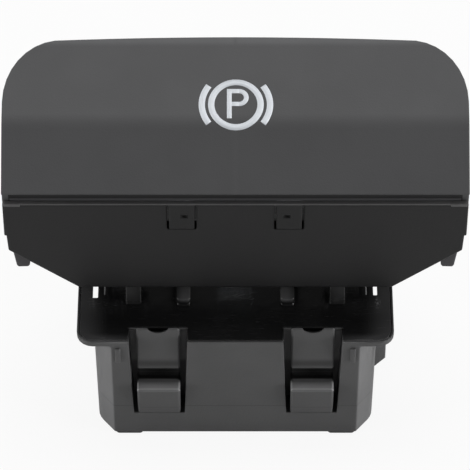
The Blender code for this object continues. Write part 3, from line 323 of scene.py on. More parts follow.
@dataclass(frozen=True)
class MouldedPlastic:
    """Opaque moulded plastic: eroded grain, cloudy gloss, edges paler from wear and painted
    highlight.
    """

    name: str
    colour: Colour
    roughness: float = 0.5
    grain: float = 0.2
    relief: float = 0.01
    cloud: float = 0.05
    gloss_spread: float = 0.08
    edge: float = 0.1
    edge_wear_and_highlight: float = 0.3
    specular: float = 0.5
    zones: tuple[Zone, ...] = ()
    cloud_cell: float = 6.0
    wear_cell: float = 1.4
    pit_spacing: float = 1.7
    pit_share: float = 0.6
    speck_share: float = 0.35
    speck_level: float = 0.88

    def make(self) -> Material:
        """The material."""
        recipe = Recipe.material(self.name)
        return self.close(recipe, recipe.place())

    def clouded(self, recipe: Recipe, clouds: Signal) -> Signal:
        """The colour with soft pale and dark clouds."""
        shade = scaled(self.colour, 1.0 - self.cloud)
        return recipe.tint(clouds.fade(0.3, 0.7), shade, scaled(self.colour, 1.0 + self.cloud))

    def close(
        self, recipe: Recipe, place: Sequence[Signal], coated: Signal | None = None
    ) -> Material:
        """Finishes a recipe.

        Args:
            recipe: the tree so far.
            place: the object coordinates as a vector, X, Y and Z.
            coated: a base colour that takes the place of the plastic's own.

        Returns:
            The finished material.
        """
        where, x, y, z = place
        normal, edge = recipe.rounded_edges(self.edge)
        clouds = recipe.noise(where, self.cloud_cell, 3.0)
        fine = recipe.noise(where, self.grain, 2.0, 0.6)
        pits = recipe.cells(where, self.grain * self.pit_spacing)
        base = coated
        if base is None:
            specks = (fine.fade(0.35, 0.75) - 0.5) * 0.5 + 0.5
            speck = scaled(self.colour, self.speck_level)
            base = recipe.tint(specks * self.speck_share, self.clouded(recipe, clouds), speck)
        # paler edges: partly wear from rubbing, partly a painted highlight on every edge
        worn_and_highlit = edge * recipe.noise(where, self.wear_cell, 3.0).fade(0.25, 0.75) * self.edge_wear_and_highlight
        base = recipe.tint(worn_and_highlit, base, scaled(self.colour, 1.9, 0.012))
        # the zones paint light and shade into the colour, apart from the parting line
        for zone in self.zones:
            base = zone.apply(recipe, (abs(x), y, z), base)
        gloss = clouds * self.gloss_spread + (self.roughness - self.gloss_spread / 2) - worn_and_highlit * 0.1
        return recipe.finish({
            "Base Color": base,
            "Roughness": gloss,
            "Specular IOR Level": self.specular,
            "Normal": recipe.bump(fine + (1.0 - pits) * self.pit_share, self.relief, normal),
        })


@dataclass(frozen=True)
class CoatedCap:
    """The paddle cap: soft-touch coat outside, bare black on the band, the tabs and inside."""

    coat: MouldedPlastic
    bare: Colour
    lip_bottom: float = 44.35
    band_front: float = -6.0
    band_half_width: float = 31.1
    band_bottom: float = 42.5
    wall: float = 29.9

    def make(self) -> Material:
        """Mixes the finish.

        Returns:
            The material.
        """
        recipe = Recipe.material(self.coat.name)
        place = recipe.place()
        where, x, y, z = place
        inside = z.below(self.band_bottom) * abs(x).below(self.wall)
        band = z.below(self.lip_bottom) * y.below(self.band_front)
        inside = (inside + band * abs(x).below(self.band_half_width)).limited()
        coat = self.coat.clouded(recipe, recipe.noise(where, 7.0, 3.0))
        return self.coat.close(recipe, place, recipe.tint(inside, coat, self.bare))


@dataclass(frozen=True)
class GlossPlate:
    """Polished black moulding: slow waves, fine scuffs, edges paler from wear and painted
    highlight, painted sheen and highlights.
    """

    name: str
    colour: Colour
    roughness: float
    edge: float = 0.3
    lid_scuffs: Triple = (1.0, 9.0, 1.0)
    scuff_turn: float = 0.5
    # where the painted sheen fades in towards the ends and the front corners
    end_sheen_fade: Point = (17.5, 21.9)
    front_sheen_fade: Point = (13.9, 15.4)
    front_sheen_width_fade: Point = (12.0, 19.0)
    # ears and ribs: paler colours as painted soft highlights, with the ears' inner halves darker
    ears: Colour = (0.016, 0.016, 0.0166)
    ear_inner_painted_shade: Colour = (0.003, 0.003, 0.003)
    ear_highlight_fade: Point = (13.2, 15.0)
    ribs: Colour = (0.115, 0.115, 0.117)
    # the painted highlights fade in above the feet of the raised parts
    foot_highlight_fade: Point = (20.85, 22.35)
    rib_highlight_fade: Point = (7.2, 8.9)
    # rim: the colour of the painted sheen near the plate's ends and front corners
    rim: Colour = (0.045, 0.045, 0.046)

    def make(self) -> Material:
        """Mixes the finish.

        Returns:
            The material.
        """
        recipe = Recipe.material(self.name)
        where, x, y, z = recipe.place()
        across = abs(x)
        normal, edge = recipe.rounded_edges(self.edge)
        raised = z.step(self.foot_highlight_fade)
        ends = across.step(self.end_sheen_fade)
        front = abs(y).step(self.front_sheen_fade) * across.step(self.front_sheen_width_fade)
        turn = (0.0, 0.0, self.scuff_turn)
        inputs = {"Vector": where, "Rotation": turn, "Scale": self.lid_scuffs}
        stretched = recipe.node("Mapping", {}, inputs)[0]
        scuffs = recipe.noise(stretched, 2.2, 4.0, 0.65).fade(0.52, 0.8)
        smudges = recipe.noise(where, 5.0, 3.0).fade(0.35, 0.7)
        waves = recipe.noise(where, 3.5, 1.0)
        worn_and_highlit = edge * recipe.noise(where, 1.1, 2.0).fade(0.2, 0.7)
        pale = scaled(self.colour, 2.5, 0.01)
        # paler edges: partly wear, partly a painted highlight; the scuffs are real
        base = recipe.tint(worn_and_highlit * (1.0 - raised) * 0.35 + scuffs * 0.12, self.colour, pale)
        # painted sheen towards the ends and the front corners
        base = recipe.tint((ends + front).limited(), base, self.rim)
        # painted highlights on the ears and ribs, fading in above their feet
        ears = recipe.tint(across.step(self.ear_highlight_fade), self.ear_inner_painted_shade, self.ears)
        upright_highlight = recipe.tint(across.step(self.rib_highlight_fade), self.ribs, ears)
        base = recipe.tint(raised, base, upright_highlight)
        return recipe.finish({
            "Base Color": base,
            "Roughness": smudges * 0.1 + scuffs * 0.16 + raised * 0.3 + self.roughness,
            "Normal": recipe.bump(waves * 4.0 + scuffs * 0.5, 0.01, normal, 0.6),
        })


@dataclass(frozen=True)
class ClearGuide:
    """Clear light guide with faint flow haze."""

    name: str
    colour: Colour
    roughness: float

    def make(self) -> Material:
        """Mixes the finish.

        Returns:
            The material.
        """
        recipe = Recipe.material(self.name)
        where = recipe.place()[0]
        haze = recipe.noise(where, 2.5, 3.0)
        normal, _ = recipe.rounded_edges(0.15)
        return recipe.finish({
            "Base Color": recipe.tint(haze * 0.3, self.colour, (0.6, 0.66, 0.7)),
            "Roughness": haze * 0.12 + self.roughness,
            "Transmission Weight": 0.92,
            "IOR": 1.58,
            "Normal": recipe.bump(haze, 0.02, normal, 0.5),
        })


@dataclass(frozen=True)
class DrawnMetal:
    """Metal with fine drawing lines along one axis and slightly dull patches."""

    name: str
    colour: Colour
    roughness: float
    lines: Triple = (1.0, 1.0, 12.0)

    def make(self) -> Material:
        """Mixes the finish.

        Returns:
            The material.
        """
        recipe = Recipe.material(self.name)
        where = recipe.place()[0]
        drawn = recipe.node("Mapping", {}, {"Vector": where, "Scale": self.lines})[0]
        streaks = recipe.noise(drawn, 0.9, 3.0, 0.6)
        dull = recipe.noise(where, 1.6, 3.0).fade(0.4, 0.75)
        normal, edge = recipe.rounded_edges(0.08)
        dark = scaled(self.colour, 0.62)
        base = recipe.tint(dull * 0.5 + streaks * 0.2 - edge * 0.3, self.colour, dark)
        return recipe.finish({
            "Base Color": base,
            "Metallic": 1.0,
            "Roughness": streaks * 0.16 + dull * 0.12 + self.roughness,
            "Normal": recipe.bump(streaks, 0.006, normal, 0.5),
        })


@dataclass(frozen=True)
class BoardLaminate:
    """Green solder mask with plated contact tracks where the wipers run, and a woven cut edge."""

    name: str
    mask: Colour = (0.012, 0.085, 0.035)
    core: Colour = (0.42, 0.4, 0.22)
    plating: Colour = (0.83, 0.62, 0.28)
    trace: Colour = (0.03, 0.16, 0.06)
    weave: Colour = (0.2, 0.19, 0.1)
    top: float = 9.9
    bottom: float = 8.3
    track_x: float = 8.0
    track_width: float = 2.6
    track_ends: Point = (-6.2, 5.2)
    seam_y: float = 0.8
    seam_width: float = 0.4
    trace_x: float = 12.5
    trace_width: float = 0.8
    trace_reach: float = 8.5
    cut_edge: float = 0.08

    def make(self) -> Material:
        """Mixes the finish.

        Returns:
            The material.
        """
        recipe = Recipe.material(self.name)
        where, x, y, z = recipe.place()
        side = z.below(self.top - self.cut_edge) * z.above(self.bottom + self.cut_edge)
        weave = recipe.noise(where, 0.35)
        lane = abs(abs(x) - self.track_x * MM).below(self.track_width / 2)
        reach = y.above(self.track_ends[0]) * y.below(self.track_ends[1])
        seam = abs(y - self.seam_y * MM).above(self.seam_width / 2)
        tracks = lane * reach * seam * (1.0 - side)
        trace = abs(abs(x) - self.trace_x * MM).below(self.trace_width / 2)
        trace = trace * abs(y).below(self.trace_reach) * (1.0 - side)
        base = recipe.tint(trace * 0.5, self.mask, self.trace)
        base = recipe.tint(tracks, base, self.plating)
        base = recipe.tint(side, base, self.core)
        base = recipe.tint(weave * side * 0.6, base, self.weave)
        return recipe.finish({
            "Base Color": base,
            "Metallic": tracks * 0.9,
            "Roughness": weave * 0.1 + side * 0.3 - tracks * 0.08 + 0.28,
            "Normal": recipe.bump(weave + tracks * 2.0 + trace * 1.5, 0.012, None, 0.7),
        })


@dataclass(frozen=True)
class PrintInk:
    """Opaque white pad print with tiny pinholes and a soft sheen."""

    name: str
    colour: Colour
    roughness: float

    def make(self) -> Material:
        """Mixes the finish.

        Returns:
            The material.
        """
        recipe = Recipe.material(self.name)
        where = recipe.place()[0]
        body = recipe.noise(where, 0.5, 3.0)
        holes = recipe.cells(where, 0.18).fade(0.1, 0.0)
        dusk = scaled(self.colour, 0.8)
        return recipe.finish({
            "Base Color": recipe.tint(body.fade(0.4, 0.8) * 0.18 + holes * 0.25, self.colour, dusk),
            "Roughness": body * 0.12 + self.roughness,
            "Normal": recipe.bump(body, 0.008, None, 0.5),
        })


# boxes of painted light and shade on the cap; the tab faces are made darker
CAP_ZONES = (
    # painted shade under the lip, at the top of the band
    Zone("band_top_painted_shade", (0.0, -9.6, 43.1), (31.1, -8.5, 44.45), 0.9),
    # painted light at the foot of the band, against the bead's shadow
    Zone("band_foot_painted_light", (0.0, -9.2, 42.3), (30.95, -8.5, 43.1), 9.5),
    Zone("tab_faces", (5.6, -9.8, 37.3), (9.2, -9.2, 42.6), 0.5),
    # painted shade on the cap's lower face
    Zone("lower_face_painted_shade", (0.0, -11.0, 44.6), (33.0, -1.5, 53.0), 0.88, 0.8),
    # painted light on the cap's far rim
    Zone("far_rim_painted_light", (0.0, 9.5, 40.0), (33.0, 12.0, 56.0), 1.5, 0.5),
)
# boxes of painted light and shade on the housing, and its real parting line
HOUSING_ZONES = (
    # painted shade at the foot of the fingers' faces, above the groove
    Zone("finger_foot_painted_shade", (7.8, -15.6, 14.7), (14.0, -14.9, 15.9), 0.25, 0.5),
    # painted shade in the groove and on its floor
    Zone("groove", (7.8, -15.3, 11.75), (14.0, -13.4, 14.4), 0.28),
    Zone("groove_floor_painted_shade", (7.8, -14.9, 10.9), (14.0, -13.4, 11.65), 0.2, 0.3),
    # painted light on the side chamfers and ends
    Zone("chamfers_and_ends_painted_light", (17.5, -20.0, -1.0), (24.0, 20.0, 19.3), 1.9, 0.15),
    Zone("rim_ends", (21.7, -20.0, 20.3), (24.0, 20.0, 22.0), 0.5),
    # painted light on the hook shelves and a painted highlight on their ridges
    Zone("block_shelf_painted_light", (7.8, -16.8, 11.0), (14.0, -14.6, 11.6), 2.6),
    Zone("block_ridge_painted_highlight", (7.8, -17.2, 11.2), (14.0, -16.7, 11.7), 1.7),
    # painted light on the pocket flanks beside the fingers
    Zone("inner_flank_painted_light", (6.2, -12.6, 12.6), (8.6, -11.9, 20.6), 2.3, 0.5),
    Zone("outer_flank_painted_light", (13.3, -12.6, 12.6), (15.6, -11.9, 20.6), 2.3, 0.5),
    Zone("parting_line", (0.0, -20.0, 6.34), (40.0, 20.0, 6.46), 0.6, 0.05),
)
# painted light on the carrier's end pegs
CARRIER_ZONES = (Zone("end_pegs_painted_light", (28.2, -8.7, 26.0), (31.3, -4.0, 32.2), 7.5),)


class Finishes:
    """Every finish of the switch, made once."""

    def __init__(self) -> None:
        """Makes the materials."""
        coat = MouldedPlastic(
            "soft_touch_grey", (0.064, 0.0643, 0.0664), roughness=0.6, grain=0.16, relief=0.012,
            cloud=0.03, gloss_spread=0.05, edge=0.3, specular=0.4, zones=CAP_ZONES,
        )
        self.cap = CoatedCap(coat, bare=(0.0082, 0.0081, 0.0086)).make()
        self.housing = MouldedPlastic(
            "glass_filled_grey", (0.0735, 0.0735, 0.0745), roughness=0.56, grain=0.22, relief=0.014,
            cloud=0.07, gloss_spread=0.1, edge=0.26, edge_wear_and_highlight=0.7, specular=0.4, zones=HOUSING_ZONES,
        ).make()
        self.carrier = MouldedPlastic(
            "satin_black", (0.007, 0.0068, 0.0072), edge=0.4, edge_wear_and_highlight=0.55, specular=0.32,
            zones=CARRIER_ZONES,
        ).make()
        # the bead's pale grey is a painted highlight of a lit black edge
        bead = MouldedPlastic("rim_grey_painted_highlight", (0.07, 0.069, 0.07), relief=0.008, specular=0.4)
        self.bead = bead.make()
        self.plate = GlossPlate("polished_black", (0.0078, 0.0078, 0.008), roughness=0.16).make()
        self.guide = ClearGuide("clear_guide", (0.9, 0.92, 0.94), roughness=0.06).make()
        self.slider = MouldedPlastic(
            "natural_acetal", (0.74, 0.72, 0.66), roughness=0.45, grain=0.3, cloud=0.04,
            gloss_spread=0.06, edge=0.12, edge_wear_and_highlight=0.15,
        ).make()
        self.board = BoardLaminate("solder_mask").make()
        self.header = MouldedPlastic(
            "header_black", (0.018, 0.018, 0.019), grain=0.25, relief=0.012, edge_wear_and_highlight=0.4
        ).make()
        self.lamp = MouldedPlastic(
            "lamp_white", (0.78, 0.77, 0.7), roughness=0.35, grain=0.25, relief=0.008,
            cloud=0.03, gloss_spread=0.05, edge=0.08, edge_wear_and_highlight=0.1,
        ).make()
        self.chip = MouldedPlastic(
            "chip_black", (0.022, 0.022, 0.024), roughness=0.42, edge=0.06, edge_wear_and_highlight=0.5
        ).make()
        self.steel = DrawnMetal("drawn_steel", (0.58, 0.58, 0.59), 0.24, (12.0, 1.0, 1.0)).make()
        self.wire = DrawnMetal("spring_wire", (0.5, 0.5, 0.52), 0.27).make()
        self.bronze = DrawnMetal("bronze_strip", (0.78, 0.5, 0.25), 0.26, (1.0, 9.0, 1.0)).make()
        self.pins = DrawnMetal("tinned_pin", (0.83, 0.78, 0.66), 0.22, (1.0, 1.0, 9.0)).make()
        self.ink = PrintInk("white_print", (0.68, 0.71, 0.75), 0.42).make()


def show(piece: Piece, body: Body, slot: str, *nodes: str) -> Piece:
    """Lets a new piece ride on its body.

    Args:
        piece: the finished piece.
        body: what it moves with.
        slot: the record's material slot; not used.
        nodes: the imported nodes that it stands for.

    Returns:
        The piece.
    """
    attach(piece, body.value)
    if nodes:
        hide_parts(*nodes)
    return piece


def added(name: str, data: bpy.types.ID) -> Piece:
    """Adds an object to the scene.

    Args:
        name: its name.
        data: its mesh, lamp or camera.

    Returns:
        The object, at the origin.
    """
    piece = bpy.data.objects.new(name, data)
    bpy.context.scene.collection.objects.link(piece)
    return piece


def new_piece(name: str, shape: Shape, finish: Material, crease: float = 32.0) -> Piece:
    """Makes an object of a bmesh.

    Args:
        name: the piece's name.
        shape: its form in metres, which is freed.
        finish: its material.
        crease: edges sharper than this many degrees stay sharp.

    Returns:
        The object, at the origin.
    """
    mesh = bpy.data.meshes.new(name)
    shape.to_mesh(mesh)
    shape.free()
    mesh.materials.append(finish)
    mesh.shade_smooth()
    mesh.set_sharp_from_angle(angle=math.radians(crease))
    return added(name, mesh)


def rounded_block(shape: Shape, low: Triple, high: Triple, rounding: float) -> None:
    """Adds a block with rounded edges.

    Args:
        shape: where it is added.
        low: its lowest corner.
        high: its highest corner.
        rounding: the radius of its edges.
    """
    size = [top - bottom for bottom, top in zip(low, high)]
    middle = [(top + bottom) / 2 for bottom, top in zip(low, high)]
    matrix = Matrix.Scale(MM, 4) @ Matrix.Translation(middle) @ Matrix.Diagonal((*size, 1.0))
    verts = bmesh.ops.create_cube(shape, size=1.0, matrix=matrix)["verts"]
    edges = list({edge for vert in verts for edge in vert.link_edges})
    rounded = {"offset": rounding * MM, "segments": 3, "affect": "EDGES", "profile": 0.5}
    bmesh.ops.bevel(shape, geom=edges, material=-1, **rounded)


def welded(node: str) -> Shape:
    """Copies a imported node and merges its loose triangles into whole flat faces.

    Args:
        node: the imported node.

    Returns:
        The copy.
    """
    shape = bmesh.new()
    shape.from_mesh(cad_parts[node].data)
    bmesh.ops.remove_doubles(shape, verts=shape.verts, dist=WELD * MM)
    parts = {"verts": shape.verts, "edges": shape.edges}
    bmesh.ops.dissolve_limit(shape, angle_limit=FLAT, use_dissolve_boundaries=False, **parts)
    return shape


def spun(
    shape: Shape, parts: list[Any], centre: Vector, axis: Triple, turn: float, steps: int,
    advance: float = 0.0, closed: bool = False,
) -> list[Any]:
    """Turns parts of a shape about an axis.

    Args:
        shape: what they belong to.
        parts: the vertices and edges.
        centre: a point on the axis.
        axis: its direction.
        turn: the whole angle.
        steps: how many steps it takes.
        advance: how far each step moves along the axis.
        closed: whether the last step meets the first.

    Returns:
        The last step's vertices and edges.
    """
    return bmesh.ops.spin(
        shape, geom=parts, cent=centre, axis=axis, dvec=Vector(axis) * advance, angle=turn,
        steps=steps, use_merge=closed, use_duplicate=False,
    )["geom_last"]


def dress_copy(
    name: str, node: str, finish: Material, body: Body, slot: str,
    refine: Callable[[Shape], None] | None = None,
) -> Piece:
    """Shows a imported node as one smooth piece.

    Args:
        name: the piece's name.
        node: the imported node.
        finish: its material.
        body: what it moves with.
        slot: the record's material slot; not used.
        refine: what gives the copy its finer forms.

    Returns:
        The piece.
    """
    shape = welded(node)
    if refine is not None:
        refine(shape)
    piece = new_piece(name, shape, finish)
    weighted = piece.modifiers.new("face_weights", "WEIGHTED_NORMAL")
    weighted.keep_sharp = True
    weighted.weight = 80
    return show(piece, body, slot, node)


def dress_node(node: str, finish: Material) -> None:
    """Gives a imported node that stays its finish.

    Args:
        node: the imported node.
        finish: its material.
    """
    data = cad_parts[node].data
    data.materials.clear()
    data.materials.append(finish)


@dataclass(frozen=True)
class CapSkin:
    """The paddle cap's curved face, as a line in side view."""

    lip: Point = (-10.0, 44.9)
    lower_length: float = 10.2
    lower_slope: float = 36.8
    upper_slope: float = 17.5
    radius: float = 6.5

    @property
    def crease(self) -> Point:
        """Where the two faces would meet without the rounding."""
        slope = math.radians(self.lower_slope)
        y = self.lip[0] + self.lower_length * math.cos(slope)
        return y, self.lip[1] + self.lower_length * math.sin(slope)

    def at(self, x: float, along: float, lift: float) -> Vector:
        """A point over the face.

        Args:
            x: place across the paddle.
            along: distance from the crease, up the slope.
            lift: height over the face.

        Returns:
            The point in metres.
        """
        half_turn = math.radians(self.lower_slope - self.upper_slope) / 2
        reach = self.radius * math.tan(half_turn)
        y, z = self.crease
        if abs(along) >= reach:
            slope = math.radians(self.upper_slope if along > 0 else self.lower_slope)
            y += along * math.cos(slope)
            z += along * math.sin(slope)
        else:
            middle = math.radians(self.lower_slope + self.upper_slope) / 2
            slope = middle - half_turn * along / reach
            inward = self.radius / math.cos(half_turn)
            y += inward * math.sin(middle) - self.radius * math.sin(slope)
            z += -inward * math.cos(middle) + self.radius * math.cos(slope)
        y -= lift * math.sin(slope)
        z += lift * math.cos(slope)
        return Vector((x, y, z)) * MM


@dataclass
class BrakeSign:
    """The white parking-brake sign: a letter P in a ring between two brackets."""

    skin: CapSkin = field(default_factory=CapSkin)
    centre_x: float = 0.07
    centre_along: float = 2.5
    ring_radius: float = 3.817
    bracket_radius: float = 5.11
    stroke: float = 0.87
    bracket_angle: float = 75.0
    letter_left: float = -1.232
    letter_right: float = 1.753
    letter_top: float = 2.36
    letter_bottom: float = -2.12
    letter_middle: float = -0.256
    letter_stroke: float = 0.655
    lift: float = 0.006
    thickness: float = 0.022
    ring_steps: int = 96
    bracket_steps: int = 28
    bowl_steps: int = 24
    stem_strips: int = 40
    bar_strips: int = 6

    def _arc(self, shape: Shape, centre: Point, radii: Point, angles: Point, steps: int) -> None:
        """Adds a band that turns about a centre.

        Args:
            shape: where it is added.
            centre: the arc's centre.
            radii: its inner and outer radius.
            angles: its first angle and how far it turns, in degrees.
            steps: its number of faces.
        """
        start, turn = (math.radians(angle) for angle in angles)
        away = Vector((math.cos(start), math.sin(start), 0.0))
        middle = Vector((*centre, 0.0))
        ends = [shape.verts.new(middle + away * radius) for radius in radii]
        parts = [*ends, shape.edges.new(ends)]
        spun(shape, parts, middle, (0.0, 0.0, 1.0), turn, steps, closed=angles[1] == 360.0)

    def _bar(self, shape: Shape, low: Point, high: Point, lengthwise: int, crosswise: int) -> None:
        """Adds a rectangle, cut into strips so that it can follow the face.

        Args:
            shape: where it is added.
            low: its lower left corner.
            high: its upper right corner.
            lengthwise: strips along the slope.
            crosswise: strips across the paddle.
        """
        size = (high[0] - low[0], high[1] - low[1], 1.0, 1.0)
        middle = ((high[0] + low[0]) / 2, (high[1] + low[1]) / 2, 0.0)
        matrix = Matrix.Translation(middle) @ Matrix.Diagonal(size)
        bmesh.ops.create_grid(
            shape, x_segments=crosswise, y_segments=lengthwise, size=0.5, matrix=matrix
        )

    def shape(self) -> Shape:
        """Draws the sign and lays it on the cap's face.

        Returns:
            The sign's form in metres.
        """
        sign = bmesh.new()
        centre, turn = (0.0, 0.0), self.bracket_angle
        radii = (self.ring_radius - self.stroke, self.ring_radius)
        self._arc(sign, centre, radii, (0.0, 360.0), self.ring_steps)
        radii = (self.bracket_radius - self.stroke, self.bracket_radius)
        for start in (-turn / 2, 180.0 - turn / 2):
            self._arc(sign, centre, radii, (start, turn), self.bracket_steps)
        left, top, stroke = self.letter_left, self.letter_top, self.letter_stroke
        stem = left + stroke
        self._bar(sign, (left, self.letter_bottom), (stem, top), self.stem_strips, 1)
        bowl = (top - self.letter_middle) / 2
        turn_x = self.letter_right - bowl
        for low in (top - stroke, self.letter_middle):
            self._bar(sign, (stem, low), (turn_x, low + stroke), self.bar_strips, 2)
        centre = (turn_x, self.letter_middle + bowl)
        self._arc(sign, centre, (bowl - stroke, bowl), (-90.0, 180.0), self.bowl_steps)
        bmesh.ops.remove_doubles(sign, verts=sign.verts, dist=0.01)
        for vert in sign.verts:
            x, along, _ = vert.co
            vert.co = self.skin.at(self.centre_x + x, self.centre_along + along, self.lift)
        bmesh.ops.recalc_face_normals(sign, faces=sign.faces)
        if sum(face.normal.z for face in sign.faces) < 0:
            bmesh.ops.reverse_faces(sign, faces=sign.faces)
        return sign

    def build(self, finishes: Finishes) -> None:
        """Prints the sign on the paddle.

        Args:
            finishes: every finish.
        """
        piece = new_piece("brake_sign", self.shape(), finishes.ink)
        layer = piece.modifiers.new("ink_layer", "SOLIDIFY")
        layer.thickness = self.thickness * MM
        layer.offset = 1.0
        show(piece, Body.PADDLE, "cap_plastic")


@dataclass
class RimBead:
    """The bead along the foot of the cap's band, thicker at its two ends; its pale grey paints the
    highlight of its lit edge.
    """

    half_length: float = 31.75
    front: float = -9.68
    back: float = -9.05
    bottom: float = 42.42
    top: float = 42.74
    end_length: float = 2.2
    end_bottom: float = 42.15
    end_swell: float = 0.03
    end_reach: float = 0.04
    rounding: float = 0.11

    def build(self, finishes: Finishes) -> None:
        """Makes the bead as one bar with two end blocks.

        Args:
            finishes: every finish.
        """
        shape = bmesh.new()
        low = (-self.half_length, self.front, self.bottom)
        rounded_block(shape, low, (self.half_length, self.back, self.top), self.rounding)
        for side in Side:
            inner = side.value * (self.half_length - self.end_length)
            outer = side.value * (self.half_length + self.end_reach)
            low = (min(inner, outer), self.front - self.end_swell, self.end_bottom)
            high = (max(inner, outer), self.back, self.top + self.end_swell)
            rounded_block(shape, low, high, self.rounding)
        show(new_piece("rim_bead", shape, finishes.bead), Body.PADDLE, "cap_plastic")


@dataclass
class Paddle:
    """The pull paddle: the coated cap, its black carrier and the clear guide to the sign."""

    sign: BrakeSign = field(default_factory=BrakeSign)
    bead: RimBead = field(default_factory=RimBead)
    bow_half_width: float = 24.9
    bow_steps: int = 6
    bow_height: float = 0.5
    bow_start: float = 2.0
    bow_end: float = 9.8
    bow_bottom: float = 50.5
    tab_root: float = -8.9
    tab_back: float = -9.2
    tab_inner: float = 5.0
    tab_outer: float = 10.0
    tab_packed_top: float = 43.0
    tolerance: float = 0.1
    facing: float = 0.99
    tab_top: float = 42.6
    tab_area: float = 6.0
    mark_width: float = 0.42
    mark_height: float = 0.13
    mark_depth: float = 0.3
    peg_inner: float = 28.2
    peg_end: float = 27.9
    peg_middle: float = 29.75
    peg_half_width: float = 0.9
    peg_rise: float = 0.75
    peg_corner_rise: float = 0.35

    def build(self, finishes: Finishes) -> None:
        """Dresses the paddle's pieces.

        Args:
            finishes: every finish.
        """
        dress_copy("cap", "paddle_cap", finishes.cap, Body.PADDLE, "cap_plastic", self.refine_cap)
        dress_copy(
            "carrier", "paddle_carrier", finishes.carrier, Body.PADDLE, "carrier_plastic",
            self.round_pegs,
        )
        dress_copy("guide", "light_guide", finishes.guide, Body.PADDLE, "clear_plastic")
        self.sign.build(finishes)
        self.bead.build(finishes)

    def refine_cap(self, shape: Shape) -> None:
        """Bows the cap's far edge and finishes its tabs."""
        self.bow_far_edge(shape)
        self.mark_tabs(shape)

    def bow_far_edge(self, shape: Shape) -> None:
        """Turns the two straight halves of the far edge into one even bow.

        Args:
            shape: the cap.
        """
        for side in Side:
            for step in range(1, self.bow_steps):
                place = side.value * self.bow_half_width * step / self.bow_steps * MM
                parts = [*shape.verts, *shape.edges, *shape.faces]
                bmesh.ops.bisect_plane(
                    shape, geom=parts, dist=WELD / 2 * MM, plane_co=(place, 0.0, 0.0), plane_no=AXLE
                )
        slope = math.radians(self.sign.skin.upper_slope)
        for vert in shape.verts:
            x, y, z = vert.co / MM
            out = min(1.0, abs(x) / self.bow_half_width)
            along = (y - self.bow_start) / (self.bow_end - self.bow_start)
            share = min(1.0, max(0.0, along))
            if z > self.bow_bottom:
                move = self.bow_height * (out - out * out) * share * MM
                vert.co += Vector((0.0, move * math.cos(slope), move * math.sin(slope)))

    def mark_tabs(self, shape: Shape) -> None:
        """Sinks the small ejector mark into each tab and ends the tabs behind the bead.

        Args:
            shape: the cap.
        """
        for vert in shape.verts:
            x, y, z = vert.co / MM
            at_top = abs(z - self.tab_packed_top) < self.tolerance
            if at_top and y < self.tab_root and self.tab_inner < abs(x) < self.tab_outer:
                vert.co.z = self.tab_top * MM
        faces = [
            face
            for face in shape.faces
            if face.normal.y < -self.facing
            and face.calc_center_median().y < self.tab_back * MM
            and face.calc_area() > self.tab_area * MM * MM
            and self.tab_inner < abs(face.calc_center_median().x / MM) < self.tab_outer
        ]
        for face in faces:
            middle = face.calc_center_bounds()
            for shrink, sink in ((True, 0.0), (False, self.mark_depth)):
                face = bmesh.ops.extrude_discrete_faces(shape, faces=[face])["faces"][0]
                for vert in face.verts:
                    if shrink:
                        away = vert.co - middle
                        size = (away.x * self.mark_width, 0.0, away.z * self.mark_height)
                        vert.co = middle + Vector(size)
                    vert.co.y += sink * MM

    def round_pegs(self, shape: Shape) -> None:
        """Draws the ends of the two pegs up, more at their sides, so that they end in a curve.

        Args:
            shape: the carrier.
        """
        for vert in shape.verts:
            x, _, z = vert.co / MM
            if abs(x) > self.peg_inner and z < self.peg_end:
                away = min(1.0, abs(abs(x) - self.peg_middle) / self.peg_half_width)
                vert.co.z += (self.peg_rise + self.peg_corner_rise * away * away) * MM


@dataclass
class Socket:
    """The grey snap-in housing with its connector and thin locating ribs on its front."""

    tip_start: float = 20.9
    tip_share: float = 0.6
    tip_front: float = 13.9
    tip_back: float = 12.5
    finger_inner: float = 7.8
    finger_outer: float = 14.1
    tip_slope: float = 1.5
    rib_inner: float = 16.2
    rib_outer: float = 16.95
    rib_front: float = -16.05
    rib_back: float = -15.5
    rib_bottom: float = 16.5
    rib_top: float = 19.35
    rib_rounding: float = 0.12

    def build(self, finishes: Finishes) -> None:
        """Dresses the housing and the pin row.

        Args:
            finishes: every finish.
        """
        dress_copy(
            "shell", "housing", finishes.housing, Body.BASE, "housing_plastic", self.trim_fingers
        )
        self.add_ribs(finishes)
        dress_node("pin_header", finishes.header)
        for node in sorted(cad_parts):
            if node.startswith("contact_pin_"):
                dress_node(node, finishes.pins)

    def trim_fingers(self, shape: Shape) -> None:
        """Lowers the finger tips and slants them away to the back.

        Args:
            shape: the housing.
        """
        for vert in shape.verts:
            x, y, z = vert.co / MM
            on_finger = self.finger_inner < abs(x) < self.finger_outer and abs(y) > self.tip_back
            if on_finger and z > self.tip_start:
                drop = max(0.0, self.tip_front - abs(y)) * self.tip_slope
                vert.co.z = (self.tip_start + (z - self.tip_start) * self.tip_share - drop) * MM

    def add_ribs(self, finishes: Finishes) -> None:
        """Makes the two locating ribs.

        Args:
            finishes: every finish.
        """
        ribs = bmesh.new()
        for side in Side:
            near, far = sorted((side.value * self.rib_inner, side.value * self.rib_outer))
            low = (near, self.rib_front, self.rib_bottom)
            rounded_block(ribs, low, (far, self.rib_back, self.rib_top), self.rib_rounding)
        show(new_piece("corner_ribs", ribs, finishes.housing), Body.BASE, "housing_plastic")


@dataclass(frozen=True)
class SlotTrim:
    """How far one end's wide opening in the plate closes at three of its sides."""

    side: Side
    inner: float
    outer: float
    front: float


